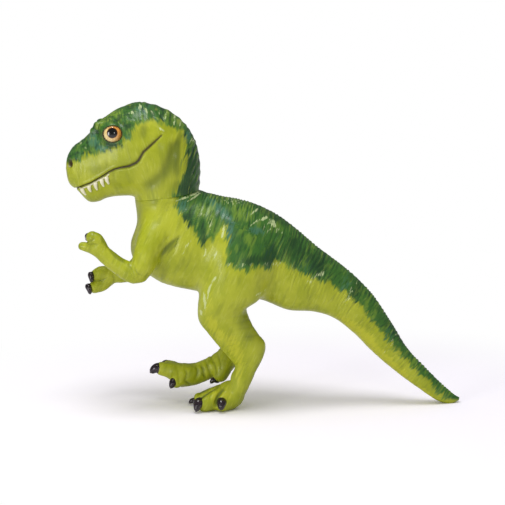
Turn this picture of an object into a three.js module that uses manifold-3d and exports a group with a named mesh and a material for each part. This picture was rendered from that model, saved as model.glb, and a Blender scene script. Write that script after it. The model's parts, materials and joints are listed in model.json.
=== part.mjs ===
// A soft vinyl toy dinosaur, standing on its left foot and the tip of its tail.
// Millimetres, +Z up. The nose points to -X, the figure's left side faces -Y.
import * as THREE from 'three';
import { mergeVertices } from 'three/addons/utils/BufferGeometryUtils.js';
import Module from 'manifold-3d';

const wasm = await Module();
wasm.setup();

// Overall sizes of the figure
const figureLength = 192.3; // nose to tail tip
const figureHeight = 149.5; // sole to crown
const stanceHalf = 26; // unit of every sideways place, about half the width over the legs

// Half-widths that the section tables share out
const bodyHalf = 21;
const headHalf = 17.2;
const legHalf = 11;
const armRadius = 4;
const toeRadius = 4;

// Castings and their fits
const wall = 2.2; // skin of the two hollow castings
const fitGap = 0.3; // clearance between neighbouring pieces
const overrun = 600; // size of the cutting blocks, whose middle is in the figure

// Neck joint: the head turns in the round opening of the body
const seamRadius = 15.5;
const seamTilt = THREE.MathUtils.degToRad(8.1);
const seamShares = [0.2528, 0.701];
const plugRadius = 8;
const plugBore = 5;
const flangeRadius = 10.2;
const flangeThickness = 1.6;
const neckWall = 2.4;
const lipBulge = 1.6; // rolled edge round the neck opening
const lipShift = 0.6; // the roll stands out most at the nape
const lipDrop = 1.9;
const lipInset = 0.6;

// Spigots that locate the limbs in the body
const hipSpigot = 5;
const hipSpigotDepth = 6;
const hipShares = [0.425, 0.515];
const shoulderSpigot = 3.2;
const shoulderSpigotDepth = 5;
const shoulderShares = [0.222, 0.572];

// Face
const eyeRadius = 6;
const eyeStand = 1.8; // how far the dome stands out of the head
const eyeDepth = 3.2; // how far its flat back lies inside
const eyeShares = [0.123, 0.904];
const browLength = 6.8;
const browDepth = 4;
const browRise = 3.6;
const browShares = [0.112, 0.934];
const browInset = 2.6;
const nostrilLength = 1.6;
const nostrilDepth = 1.8;
const nostrilRise = 2.4;
const nostrilShares = [0.016, 0.807];
const mouthWidth = 0.9;
const mouthDepth = 1.6;
const toothRadius = 1.3;
const toothStand = 0.8;
const toothSlotDepth = 2;
const toothBand = 0.9;

// Claws
const toeClawLength = 5.4;
const toeClawRadius = 2.3;
const handClawLength = 3.8;
const handClawRadius = 1.6;
const clawRoot = 1.4; // how far a claw is set into its toe

// Fineness of the faces
const bodyStations = 29;
const bodySides = 24;
const headStations = 23;
const headSides = 22;
const legStations = 18;
const legSides = 14;
const armStations = 13;
const toeStations = 5;
const limbSides = 12;
const clawStations = 5;
const clawSides = 8;
const cavitySides = 12;
const cavityStations = 10;
const roundSides = 20;
const lipSides = 6;
const beadSides = 12;
const beadRings = 8;
const eyeSides = 18;
const eyeRings = 9;
const mouthSteps = 12;
const toothStations = 3;
const reachSteps = 400; // chords tried to find the skin at a place

// Section tables. A row holds the upper point and the lower point (x and z, shares of
// length and height), the sideways place of the middle and the share of half-width.
const trunkShares = [
  [0.346, 0.708, 0.177, 0.612, 0.0, 0.77],
  [0.366, 0.703, 0.161, 0.543, 0.0, 0.87],
  [0.391, 0.695, 0.168, 0.494, 0.0, 0.94],
  [0.431, 0.686, 0.229, 0.422, 0.0, 1.0],
  [0.476, 0.669, 0.329, 0.388, 0.0, 0.97],
  [0.529, 0.636, 0.425, 0.372, 0.0, 0.87],
  [0.582, 0.584, 0.491, 0.358, 0.0, 0.76],
  [0.632, 0.529, 0.557, 0.325, 0.01, 0.68],
  [0.678, 0.484, 0.621, 0.318, 0.04, 0.58],
  [0.724, 0.435, 0.672, 0.296, 0.08, 0.5],
  [0.771, 0.371, 0.723, 0.245, 0.12, 0.44],
  [0.817, 0.284, 0.775, 0.177, 0.15, 0.37],
  [0.865, 0.185, 0.832, 0.113, 0.19, 0.3],
  [0.912, 0.12, 0.89, 0.056, 0.23, 0.24],
  [0.959, 0.058, 0.944, 0.008, 0.29, 0.18],
  [0.988, 0.026, 0.976, -0.004, 0.33, 0.12],
  [1.0, 0.017, 0.998, 0.006, 0.34, 0.05],
];
const headShares = [
  [0.002, 0.794, 0.002, 0.781, 0.0, 0.15],
  [0.007, 0.829, 0.01, 0.738, 0.0, 0.45],
  [0.021, 0.858, 0.032, 0.713, 0.0, 0.58],
  [0.044, 0.88, 0.059, 0.679, 0.0, 0.65],
  [0.068, 0.911, 0.082, 0.68, 0.0, 0.71],
  [0.09, 0.942, 0.102, 0.691, 0.0, 0.78],
  [0.112, 0.963, 0.12, 0.696, 0.0, 0.84],
  [0.137, 0.981, 0.137, 0.698, 0.0, 0.91],
  [0.182, 0.999, 0.157, 0.699, 0.0, 0.97],
  [0.227, 0.989, 0.165, 0.698, 0.0, 1.0],
  [0.269, 0.963, 0.168, 0.697, 0.0, 1.0],
  [0.301, 0.926, 0.17, 0.696, 0.0, 0.99],
  [0.324, 0.875, 0.171, 0.695, 0.0, 0.96],
  [0.335, 0.813, 0.172, 0.694, 0.0, 0.93],
  [0.336, 0.761, 0.172, 0.692, 0.0, 0.91],
];
const leftLegShares = [
  [0.405, 0.625, 0.475, 0.59, -0.5, 0.4],
  [0.372, 0.58, 0.512, 0.51, -0.56, 0.85],
  [0.352, 0.5, 0.5, 0.43, -0.59, 1.05],
  [0.339, 0.417, 0.484, 0.377, -0.57, 1.06],
  [0.331, 0.352, 0.454, 0.346, -0.53, 0.94],
  [0.334, 0.302, 0.454, 0.331, -0.48, 0.78],
  [0.356, 0.261, 0.466, 0.291, -0.44, 0.67],
  [0.383, 0.215, 0.484, 0.253, -0.38, 0.59],
  [0.406, 0.179, 0.499, 0.225, -0.35, 0.51],
  [0.423, 0.147, 0.496, 0.184, -0.31, 0.45],
  [0.413, 0.113, 0.476, 0.129, -0.27, 0.45],
  [0.408, 0.074, 0.458, 0.074, -0.23, 0.49],
  [0.391, 0.04, 0.441, 0.032, -0.18, 0.5],
  [0.376, -0.006, 0.416, -0.01, -0.13, 0.34],
];
const rightLegShares = [
  [0.405, 0.625, 0.475, 0.59, 0.5, 0.4],
  [0.372, 0.58, 0.512, 0.51, 0.56, 0.85],
  [0.35, 0.49, 0.497, 0.42, 0.58, 1.05],
  [0.331, 0.39, 0.458, 0.35, 0.56, 1.0],
  [0.333, 0.318, 0.443, 0.325, 0.54, 0.84],
  [0.346, 0.272, 0.447, 0.297, 0.52, 0.72],
  [0.366, 0.234, 0.458, 0.265, 0.51, 0.63],
  [0.383, 0.203, 0.472, 0.228, 0.5, 0.56],
  [0.386, 0.181, 0.474, 0.186, 0.49, 0.5],
  [0.373, 0.164, 0.457, 0.14, 0.48, 0.47],
  [0.35, 0.145, 0.414, 0.11, 0.46, 0.47],
  [0.316, 0.128, 0.366, 0.079, 0.46, 0.49],
  [0.283, 0.124, 0.319, 0.054, 0.46, 0.53],
  [0.262, 0.12, 0.288, 0.051, 0.46, 0.45],
];

// Path tables of the round limbs: x, sideways place, z and share of the radius
const leftArmShares = [
  [0.233, -0.46, 0.604, 1.55],
  [0.219, -0.63, 0.569, 1.7],
  [0.205, -0.77, 0.528, 1.5],
  [0.195, -0.85, 0.488, 1.4],
  [0.177, -0.87, 0.471, 1.3],
  [0.147, -0.87, 0.486, 1.08],
  [0.122, -0.85, 0.508, 1.0],
  [0.098, -0.83, 0.535, 0.95],
  [0.083, -0.81, 0.551, 0.86],
];
const leftFingerShares = [
  [
    [0.092, -0.84, 0.558, 0.82],
    [0.084, -0.85, 0.576, 0.8],
    [0.075, -0.85, 0.582, 0.78],
  ],
  [
    [0.088, -0.82, 0.547, 0.8],
    [0.066, -0.79, 0.55, 0.66],
    [0.049, -0.77, 0.553, 0.5],
  ],
];
const rightArmShares = [
  [0.226, 0.46, 0.597, 1.55],
  [0.21, 0.63, 0.563, 1.7],
  [0.196, 0.75, 0.499, 1.5],
  [0.179, 0.81, 0.451, 1.3],
  [0.158, 0.83, 0.427, 1.23],
  [0.13, 0.83, 0.417, 1.1],
  [0.107, 0.81, 0.417, 1.1],
  [0.091, 0.79, 0.411, 1.0],
];
const rightFingerShares = [
  [
    [0.099, 0.79, 0.419, 0.9],
    [0.076, 0.75, 0.422, 0.85],
    [0.063, 0.73, 0.413, 0.75],
  ],
  [
    [0.099, 0.79, 0.408, 0.85],
    [0.081, 0.75, 0.385, 0.8],
    [0.06, 0.71, 0.376, 0.76],
  ],
];
const leftToeShares = [
  [
    [0.41, -0.12, 0.05, 1.45],
    [0.371, 0.05, 0.033, 1.22],
    [0.336, 0.14, 0.021, 0.92],
  ],
  [
    [0.41, -0.15, 0.05, 1.45],
    [0.375, -0.27, 0.036, 1.25],
    [0.347, -0.38, 0.026, 1.05],
  ],
  [
    [0.415, -0.15, 0.04, 1.35],
    [0.402, -0.27, 0.03, 1.15],
    [0.391, -0.37, 0.024, 0.95],
  ],
];
const rightToeShares = [
  [
    [0.296, 0.38, 0.09, 1.25],
    [0.281, 0.29, 0.082, 1.0],
    [0.272, 0.23, 0.076, 0.85],
  ],
  [
    [0.285, 0.46, 0.087, 1.35],
    [0.254, 0.46, 0.104, 1.0],
    [0.234, 0.46, 0.109, 0.85],
  ],
  [
    [0.285, 0.58, 0.089, 1.15],
    [0.262, 0.69, 0.101, 0.9],
    [0.249, 0.75, 0.107, 0.75],
  ],
];
const leftDewShares = [
  [0.452, -0.18, 0.14, 1.1],
  [0.449, 0.0, 0.115, 0.9],
  [0.445, 0.07, 0.098, 0.75],
];
const rightDewShares = [
  [0.405, 0.37, 0.15, 1.25],
  [0.392, 0.29, 0.12, 1.15],
  [0.385, 0.25, 0.098, 0.95],
];

// Claws: place of the cuticle, then the way the claw points
const toeClawShares = {
  left_inner_toe_claw: [[0.322, 0.12, 0.014], [-0.9, -0.15, -0.12]],
  left_middle_toe_claw: [[0.335, -0.41, 0.03], [-0.3, -0.75, -0.5]],
  left_outer_toe_claw: [[0.39, -0.4, 0.028], [-0.05, -0.85, -0.35]],
  left_dewclaw: [[0.442, 0.09, 0.087], [-0.1, 0.25, -0.9]],
  right_inner_toe_claw: [[0.27, 0.22, 0.075], [-0.45, -0.75, -0.45]],
  right_middle_toe_claw: [[0.232, 0.455, 0.106], [-0.9, -0.1, -0.2]],
  right_outer_toe_claw: [[0.247, 0.77, 0.11], [-0.8, 0.35, -0.25]],
  right_dewclaw: [[0.376, 0.244, 0.079], [-0.8, -0.25, -0.3]],
};
const handClawShares = {
  left_upper_hand_claw: [[0.064, -0.77, 0.584], [-0.3, 0.75, -0.6]],
  left_lower_hand_claw: [[0.048, -0.75, 0.552], [-0.2, 0.75, -0.5]],
  right_upper_hand_claw: [[0.052, 0.667, 0.417], [0.1, -0.5, -0.85]],
  right_lower_hand_claw: [[0.045, 0.651, 0.378], [0.25, -0.45, -0.85]],
};
const clawBendShare = 0.22;
const clawRadiusShares = [0.8, 1.0, 0.95, 0.74, 0.36];

// Mouth line on the cheek, and the feet and tips of the five teeth
const mouthShares = [
  [0.016, 0.712],
  [0.051, 0.738],
  [0.082, 0.757],
  [0.111, 0.781],
  [0.143, 0.798],
  [0.163, 0.801],
  [0.18, 0.813],
  [0.199, 0.849],
  [0.22, 0.873],
  [0.244, 0.9],
];
const toothFootShares = [[0.043, 0.73], [0.062, 0.738], [0.078, 0.749], [0.093, 0.76], [0.105, 0.77]];
const toothTipShares = [[0.054, 0.707], [0.066, 0.716], [0.081, 0.723], [0.099, 0.736], [0.112, 0.746]];
const toothRowShares = [0.038, 0.116];

// Section roundness: 2 is an ellipse, more is squarer
const bodySquare = 2.15;
const headSquare = 2.25;
const legSquare = 2.1;
const bodySag = 0.08; // how much wider a body section is below its middle
const middleShare = 0.5;
const domeShares = [0.5, 0.75, 0.8];
const toothGirthShares = [1.0, 0.8, 0.3];

// A place in the figure from its shares
function place(x, side, z) {
  return new THREE.Vector3(
    (x - middleShare) * figureLength,
    side * stanceHalf,
    z * figureHeight,
  );
}

// Closed solid from a geometry, and the way back
function toSolid(geometry) {
  const bare = geometry.clone();
  bare.deleteAttribute('normal');
  bare.deleteAttribute('uv');
  const welded = mergeVertices(bare);
  return new wasm.Manifold(new wasm.Mesh({
    numProp: 3,
    vertProperties: new Float32Array(welded.attributes.position.array),
    triVerts: new Uint32Array(welded.index.array),
  }));
}

function toGeometry(solid) {
  const mesh = solid.getMesh();
  const geometry = new THREE.BufferGeometry();
  geometry.setAttribute('position', new THREE.BufferAttribute(mesh.vertProperties, 3));
  geometry.setIndex(new THREE.BufferAttribute(mesh.triVerts, 1));
  geometry.computeVertexNormals();
  return geometry;
}

// A skin over a row of rings, closed by a fan at each end
function skinOver(rings, firstPole, lastPole) {
  const sides = rings[0].length;
  const points = [...rings.flat(), firstPole, lastPole];
  const first = points.length - 2;
  const last = points.length - 1;
  const faces = [];
  for (let row = 0; row + 1 < rings.length; row += 1) {
    for (let side = 0; side < sides; side += 1) {
      const next = (side + 1) % sides;
      const a = row * sides + side;
      const b = row * sides + next;
      faces.push(a, b, a + sides, b, b + sides, a + sides);
    }
  }
  const start = (rings.length - 1) * sides;
  for (let side = 0; side < sides; side += 1) {
    const next = (side + 1) % sides;
    faces.push(first, next, side, last, start + side, start + next);
  }
  const positions = new Float32Array(points.flatMap((point) => point.toArray()));
  if (signedVolume(positions, faces) < 0) {
    faces.reverse();
  }
  const geometry = new THREE.BufferGeometry();
  geometry.setAttribute('position', new THREE.BufferAttribute(positions, 3));
  geometry.setIndex(faces);
  return geometry;
}

function signedVolume(positions, faces) {
  const corner = (index) => new THREE.Vector3().fromArray(positions, 3 * index);
  let sum = 0;
  for (let face = 0; face < faces.length; face += 3) {
    sum += corner(faces[face]).dot(corner(faces[face + 1]).cross(corner(faces[face + 2])));
  }
  return sum;
}

// Power curve that makes a section squarer than an ellipse
function squared(value, square) {
  return Math.sign(value) * Math.abs(value) ** (2 / square);
}

// Sections carried between an upper and a lower rail
function railForm(rows, half, square, sag = 0) {
  const upper = [];
  const lower = [];
  const widths = [];
  for (const [upperX, upperZ, lowerX, lowerZ, side, share] of rows) {
    upper.push(place(upperX, side, upperZ));
    lower.push(place(lowerX, side, lowerZ));
    widths.push(new THREE.Vector3(share * half, 0, 0));
  }
  return { upper, lower, widths, square, sag };
}

function sectionAt(form, along) {
  const upper = new THREE.CatmullRomCurve3(form.upper).getPoint(along);
  const lower = new THREE.CatmullRomCurve3(form.lower).getPoint(along);
  const half = new THREE.CatmullRomCurve3(form.widths).getPoint(along).x;
  return { upper, lower, half };
}

// The solid of a rail form, grown or shrunk all round, over part of its length
function railSolid(form, { stations, sides, grow = 0, from = 0, to = 1 }) {
  const rings = [];
  const centres = [];
  for (let station = 0; station < stations; station += 1) {
    const along = THREE.MathUtils.lerp(from, to, station / (stations - 1));
    const { upper, lower, half } = sectionAt(form, along);
    const centre = upper.clone().add(lower).multiplyScalar(middleShare);
    const rise = upper.clone().sub(centre);
    rise.setLength(rise.length() + grow);
    const ring = [];
    for (let side = 0; side < sides; side += 1) {
      const turn = (2 * Math.PI * side) / sides;
      const up = squared(Math.sin(turn), form.square);
      const out = squared(Math.cos(turn), form.square) * (1 - form.sag * up);
      const point = centre.clone().addScaledVector(rise, up);
      point.y += out * (half + grow);
      ring.push(point);
    }
    rings.push(ring);
    centres.push(centre);
  }
  return toSolid(skinOver(rings, centres[0], centres[stations - 1]));
}

// How far out the skin of a form lies at a place seen from the side
function skinReach(form, x, z) {
  const target = place(x, 0, z);
  let best = { miss: Infinity, reach: 0 };
  for (let step = 0; step <= reachSteps; step += 1) {
    const { upper, lower, half } = sectionAt(form, step / reachSteps);
    const chord = upper.clone().sub(lower);
    const share = target.clone().sub(lower).dot(chord) / chord.lengthSq();
    const up = THREE.MathUtils.clamp(2 * share - 1, -1, 1);
    const miss = target.distanceTo(lower.clone().addScaledVector(chord, (up + 1) * middleShare));
    if (miss < best.miss) {
      best = { miss, reach: half * (1 - Math.abs(up) ** form.square) ** (1 / form.square) };
    }
  }
  return best.reach;
}

// A round limb along a path, with domed ends
function tubeSolid(path, radii, { stations, sides, domed = true, grow = 0 }) {
  const curve = new THREE.CatmullRomCurve3(path);
  const girth = new THREE.CatmullRomCurve3(radii.map((radius) => new THREE.Vector3(radius, 0, 0)));
  const chord = path[path.length - 1].clone().sub(path[0]);
  const sideways = Math.abs(chord.y) < Math.abs(chord.x) + Math.abs(chord.z);
  const reference = sideways ? new THREE.Vector3(0, 1, 0) : new THREE.Vector3(0, 0, 1);
  const rings = [];
  const ringAt = (centre, tangent, radius) => {
    const across = reference.clone().cross(tangent).normalize();
    const along = tangent.clone().cross(across).normalize();
    const ring = [];
    for (let side = 0; side < sides; side += 1) {
      const turn = (2 * Math.PI * side) / sides;
      ring.push(centre.clone()
        .addScaledVector(across, Math.cos(turn) * radius)
        .addScaledVector(along, Math.sin(turn) * radius));
    }
    return ring;
  };
  const ends = [];
  for (let station = 0; station < stations; station += 1) {
    const share = station / (stations - 1);
    const centre = curve.getPoint(share);
    const tangent = curve.getTangent(share);
    const radius = girth.getPoint(share).x + grow;
    const outward = station === 0 ? -1 : 1;
    const shoulder = ringAt(
      centre.clone().addScaledVector(tangent, outward * radius * domeShares[0]),
      tangent,
      radius * domeShares[1],
    );
    const pole = centre.clone().addScaledVector(tangent, outward * radius * domeShares[2]);
    const atEnd = station === 0 || station === stations - 1;
    const ring = ringAt(centre, tangent, radius);
    const pair = station === 0 ? [shoulder, ring] : [ring, shoulder];
    rings.push(...(atEnd && domed ? pair : [ring]));
    ends.push(...(atEnd ? [pole] : []));
  }
  return toSolid(skinOver(rings, ends[0], ends[1]));
}

function limbSolid(rows, radius, stations) {
  const path = rows.map(([x, side, z]) => place(x, side, z));
  const radii = rows.map((row) => row[3] * radius);
  return tubeSolid(path, radii, { stations, sides: limbSides });
}

function joined(solids) {
  return solids.reduce((whole, solid) => whole.add(solid));
}

// Plain cutting and turning forms
function block(width, depth, height, x, y, z) {
  return toSolid(new THREE.BoxGeometry(width, depth, height).translate(x, y, z));
}

function belowFloor() {
  return block(overrun, overrun, overrun, 0, 0, -overrun * middleShare);
}

function sideRod(radius, x, z, inner, outer) {
  const middle = (inner + outer) * middleShare;
  const rod = new THREE.CylinderGeometry(radius, radius, Math.abs(outer - inner), roundSides);
  return toSolid(rod.translate(place(x, 0, z).x, middle, place(x, 0, z).z));
}

// The neck seam: a round plane tilted from the throat up to the nape
const seamCentre = place(seamShares[0], 0, seamShares[1]);
const seamFrame = new THREE.Matrix4()
  .makeRotationY(-seamTilt)
  .setPosition(seamCentre);

function seamPoint(across, up) {
  return new THREE.Vector3(across, 0, up).applyMatrix4(seamFrame);
}

function atSeam(geometry) {
  return toSolid(geometry.applyMatrix4(seamFrame));
}

function seamDisc(radius, bottom, top) {
  const disc = new THREE.CylinderGeometry(radius, radius, top - bottom, roundSides);
  disc.rotateX(Math.PI / 2).translate(0, 0, (top + bottom) * middleShare);
  return atSeam(disc);
}

function seamBlock(bottom, top) {
  const slab = new THREE.BoxGeometry(overrun, overrun, top - bottom);
  return atSeam(slab.translate(0, 0, (top + bottom) * middleShare));
}

// Form of the torso and tail, starting on the neck seam
function trunkForm() {
  const form = railForm(trunkShares, bodyHalf, bodySquare, bodySag);
  const drop = -fitGap * middleShare;
  form.upper.unshift(seamPoint(seamRadius, drop));
  form.lower.unshift(seamPoint(-seamRadius, drop));
  form.widths.unshift(new THREE.Vector3(seamRadius, 0, 0));
  return form;
}

// Form of the head, ending on the neck seam
function skullForm() {
  const form = railForm(headShares, headHalf, headSquare);
  const rise = fitGap * middleShare;
  form.upper.push(seamPoint(seamRadius, rise));
  form.lower.push(seamPoint(-seamRadius, rise));
  form.widths.push(new THREE.Vector3(seamRadius, 0, 0));
  return form;
}

const trunk = trunkForm();
const skull = skullForm();
const trunkFine = { stations: bodyStations, sides: bodySides };
const skullFine = { stations: headStations, sides: headSides };
const trunkClear = railSolid(trunk, { ...trunkFine, grow: fitGap });
const legFine = { stations: legStations, sides: legSides };
const clawFine = { stations: clawStations, sides: clawSides, domed: false };
const toothFine = { stations: toothStations, sides: clawSides, domed: false };
const cavityFine = { stations: cavityStations, sides: cavitySides, grow: -wall };
const trunkCavityShares = [0, 0.64];
const skullCavityShares = [0.14, 1];

// Rolled edge round the neck opening, standing out most at the nape
function neckLip() {
  const ring = new THREE.TorusGeometry(seamRadius - lipInset, lipBulge, lipSides, bodySides);
  const band = atSeam(ring.translate(lipShift, 0, -lipDrop));
  return band.subtract(seamBlock(-fitGap * middleShare, overrun));
}

// Body casting: a hollow skin with openings for the neck plug and four spigots
function bodyShell() {
  const cavity = railSolid(trunk, {
    ...cavityFine,
    from: trunkCavityShares[0],
    to: trunkCavityShares[1],
  }).subtract(seamBlock(-neckWall, overrun));
  const openings = [seamDisc(plugRadius + fitGap, -neckWall - wall, overrun * middleShare)];
  for (const side of [-1, 1]) {
    openings.push(
      sideRod(hipSpigot + fitGap, ...hipShares, 0, side * overrun * middleShare),
      sideRod(shoulderSpigot + fitGap, ...shoulderShares, 0, side * overrun * middleShare),
    );
  }
  return railSolid(trunk, trunkFine)
    .add(neckLip())
    .subtract(cavity)
    .subtract(joined(openings))
    .subtract(belowFloor());
}

// Limb roots: what lies inside the body comes off, and a spigot goes through its wall
function seated(limb, spigotRadius, depth, shares, side) {
  const surface = skinReach(trunk, ...shares);
  const spigot = sideRod(spigotRadius, ...shares, side * (surface - depth), side * (surface + wall));
  return limb.subtract(trunkClear).add(spigot);
}

function leftLeg() {
  const leg = railSolid(railForm(leftLegShares, legHalf, legSquare), legFine);
  const toes = leftToeShares.map((rows) => limbSolid(rows, toeRadius, toeStations));
  const dew = limbSolid(leftDewShares, toeRadius, toeStations);
  const whole = joined([leg, ...toes, dew]).subtract(belowFloor());
  return clawSockets(seated(whole, hipSpigot, hipSpigotDepth, hipShares, -1), 'left', toeClaws);
}

function rightLeg() {
  const leg = railSolid(railForm(rightLegShares, legHalf, legSquare), legFine);
  const toes = rightToeShares.map((rows) => limbSolid(rows, toeRadius, toeStations));
  const dew = limbSolid(rightDewShares, toeRadius, toeStations);
  const whole = joined([leg, ...toes, dew]);
  return clawSockets(seated(whole, hipSpigot, hipSpigotDepth, hipShares, 1), 'right', toeClaws);
}

function arm(armRows, fingerRows, side, name) {
  const limb = limbSolid(armRows, armRadius, armStations);
  const fingers = fingerRows.map((rows) => limbSolid(rows, armRadius, toeStations));
  const whole = joined([limb, ...fingers]);
  const root = seated(whole, shoulderSpigot, shoulderSpigotDepth, shoulderShares, side);
  return clawSockets(root, name, handClaws);
}

// One claw: a horn curved downwards, set into its toe by its root
function clawSolid([[x, side, z], aimShares], length, radius, grow = 0) {
  const cuticle = place(x, side, z);
  const aim = new THREE.Vector3(...aimShares).normalize();
  const lift = new THREE.Vector3(0, 0, clawBendShare * length);
  const path = clawRadiusShares.map((share, step) => {
    const along = THREE.MathUtils.lerp(-clawRoot, length, step / (clawRadiusShares.length - 1));
    const bow = 1 - (2 * along / length - 1) ** 2;
    return cuticle.clone().addScaledVector(aim, along).addScaledVector(lift, Math.max(bow, 0));
  });
  const radii = clawRadiusShares.map((share) => share * radius);
  return tubeSolid(path, radii, { ...clawFine, grow });
}

const toeClaws = Object.entries(toeClawShares)
  .map(([name, shares]) => ({ name, shares, length: toeClawLength, radius: toeClawRadius }));
const handClaws = Object.entries(handClawShares)
  .map(([name, shares]) => ({ name, shares, length: handClawLength, radius: handClawRadius }));

function clawSockets(limb, side, claws) {
  return claws
    .filter(({ name }) => name.startsWith(side))
    .reduce((rest, { shares, length, radius }) => (
      rest.subtract(clawSolid(shares, length, radius, fitGap))
    ), limb);
}

// An ellipsoid lying on the side of the head
function cheekBead(length, depth, rise, shares, side, inset) {
  const bead = new THREE.SphereGeometry(1, beadSides, beadRings).scale(length, depth, rise);
  const centre = place(shares[0], 0, shares[1]);
  const reach = skinReach(skull, ...shares);
  return toSolid(bead.translate(centre.x, side * (reach - inset), centre.z));
}

// Eye: a glossy dome with a flat back
function eyeDome(side, grow = 0) {
  const centre = place(eyeShares[0], 0, eyeShares[1]);
  const reach = skinReach(skull, ...eyeShares);
  const ball = new THREE.SphereGeometry(eyeRadius + grow, eyeSides, eyeRings).rotateX(Math.PI / 2);
  const middle = side * (reach + eyeStand - eyeRadius);
  const back = reach - eyeDepth - grow;
  const room = block(overrun, overrun, overrun, 0, side * (back + overrun * middleShare), 0);
  return toSolid(ball.translate(centre.x, middle, centre.z)).intersect(room);
}

// A band that follows the mouth line right across the head
function mouthBand(width, fromX, toX) {
  const spine = new THREE.CatmullRomCurve3(mouthShares.map(([x, z]) => place(x, 0, z)));
  const upper = [];
  const lower = [];
  for (let step = 0; step <= mouthSteps; step += 1) {
    const share = step / mouthSteps;
    const point = spine.getPoint(share);
    const tangent = spine.getTangent(share);
    if (point.x >= fromX && point.x <= toX) {
      const half = width * middleShare;
      upper.push(new THREE.Vector2(point.x - tangent.z * half, point.z + tangent.x * half));
      lower.unshift(new THREE.Vector2(point.x + tangent.z * half, point.z - tangent.x * half));
    }
  }
  const outline = new THREE.Shape([...upper, ...lower]);
  const band = new THREE.ExtrudeGeometry(outline, { depth: overrun, bevelEnabled: false });
  return toSolid(band.rotateX(Math.PI / 2).translate(0, overrun * middleShare, 0));
}

function toothRange(grow) {
  return toothRowShares.map((share, index) => (
    place(share, 0, 0).x + (index === 0 ? -grow : grow)
  ));
}

// Teeth: half cones that lie on the lower lip, joined by a band seated in the mouth
function toothRow(side) {
  const reach = railSolid(skull, { ...skullFine, grow: toothStand });
  const seat = railSolid(skull, { ...skullFine, grow: fitGap - toothSlotDepth });
  const band = mouthBand(toothBand, ...toothRange(0)).intersect(reach).subtract(seat);
  const lip = railSolid(skull, { ...skullFine, grow: fitGap });
  const cones = toothFootShares.map(([x, z], index) => {
    const foot = place(x, 0, z);
    const tip = place(toothTipShares[index][0], 0, toothTipShares[index][1]);
    foot.y = side * skinReach(skull, x, z);
    tip.y = side * (skinReach(skull, ...toothTipShares[index]) + toothStand * middleShare);
    const radii = toothGirthShares.map((share) => share * toothRadius);
    return tubeSolid([foot, foot.clone().lerp(tip, middleShare), tip], radii, toothFine);
  });
  const half = block(overrun, overrun, overrun, 0, side * overrun * middleShare, 0);
  return band.intersect(half).add(joined(cones).subtract(lip));
}

// Head casting: hollow, with sockets for the eyes, the mouth line and the neck plug
function headShell() {
  const outer = railSolid(skull, skullFine);
  const brows = [-1, 1].map((side) => (
    cheekBead(browLength, browDepth, browRise, browShares, side, browInset)
  ));
  const nostrils = [-1, 1].map((side) => (
    cheekBead(nostrilLength, nostrilDepth, nostrilRise, nostrilShares, side, 0)
  ));
  const sockets = [-1, 1].map((side) => eyeDome(side, fitGap));
  const eyeWalls = [-1, 1].map((side) => eyeDome(side, wall));
  const cavity = railSolid(skull, {
    ...cavityFine,
    from: skullCavityShares[0],
    to: skullCavityShares[1],
  }).subtract(joined(eyeWalls)).subtract(seamBlock(-overrun, wall));
  const core = railSolid(skull, { ...skullFine, grow: -mouthDepth });
  const mouth = mouthBand(mouthWidth, -overrun, overrun).subtract(core);
  const slotCore = railSolid(skull, { ...skullFine, grow: -toothSlotDepth });
  const slot = mouthBand(toothBand + fitGap + fitGap, ...toothRange(fitGap)).subtract(slotCore);
  return outer
    .add(joined(brows))
    .subtract(seamBlock(-overrun, fitGap * middleShare))
    .add(neckPlug())
    .subtract(cavity)
    .subtract(seamDisc(plugBore, -overrun * middleShare, wall + wall))
    .subtract(joined([...sockets, ...nostrils, mouth, slot]));
}

// Neck plug with the flange that holds the head in the body
function neckPlug() {
  const bottom = -neckWall - fitGap - flangeThickness;
  return seamDisc(plugRadius, bottom, wall)
    .add(seamDisc(flangeRadius, bottom, -neckWall - fitGap));
}

// Materials
const vinylColor = new THREE.Color('#a3b02f');
const eyeColor = new THREE.Color('#e8a848');
const toothColor = new THREE.Color('#efe9bd');
const clawColor = new THREE.Color('#241a22');

function material(color, roughness) {
  return new THREE.MeshStandardMaterial({ color, roughness, metalness: 0 });
}

const figure = new THREE.Group();
figure.name = 'toy_dinosaur';

function addPiece(name, solid, color, roughness) {
  const mesh = new THREE.Mesh(toGeometry(solid), material(color, roughness));
  mesh.name = name;
  figure.add(mesh);
}

const vinylRoughness = 0.4;
const glossRoughness = 0.15;
addPiece('body_shell', bodyShell(), vinylColor, vinylRoughness);
addPiece('head_shell', headShell(), vinylColor, vinylRoughness);
addPiece('left_leg', leftLeg(), vinylColor, vinylRoughness);
addPiece('right_leg', rightLeg(), vinylColor, vinylRoughness);
addPiece('left_arm', arm(leftArmShares, leftFingerShares, -1, 'left'), vinylColor, vinylRoughness);
addPiece('right_arm', arm(rightArmShares, rightFingerShares, 1, 'right'), vinylColor, vinylRoughness);
addPiece('left_eye', eyeDome(-1), eyeColor, glossRoughness);
addPiece('right_eye', eyeDome(1), eyeColor, glossRoughness);
addPiece('left_tooth_row', toothRow(-1), toothColor, vinylRoughness);
addPiece('right_tooth_row', toothRow(1), toothColor, vinylRoughness);
for (const { name, shares, length, radius } of [...toeClaws, ...handClaws]) {
  const claw = clawSolid(shares, length, radius).subtract(belowFloor());
  addPiece(name, claw, clawColor, glossRoughness);
}

// The middle of the figure's floor rectangle becomes the origin
const bounds = new THREE.Box3().setFromObject(figure);
const middle = bounds.getCenter(new THREE.Vector3());
for (const mesh of figure.children) {
  mesh.geometry.translate(-middle.x, -middle.y, -bounds.min.z);
}

export default figure;
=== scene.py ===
"""A hand-painted soft vinyl toy dinosaur, about 19 cm long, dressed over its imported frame."""
import json
import math

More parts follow.
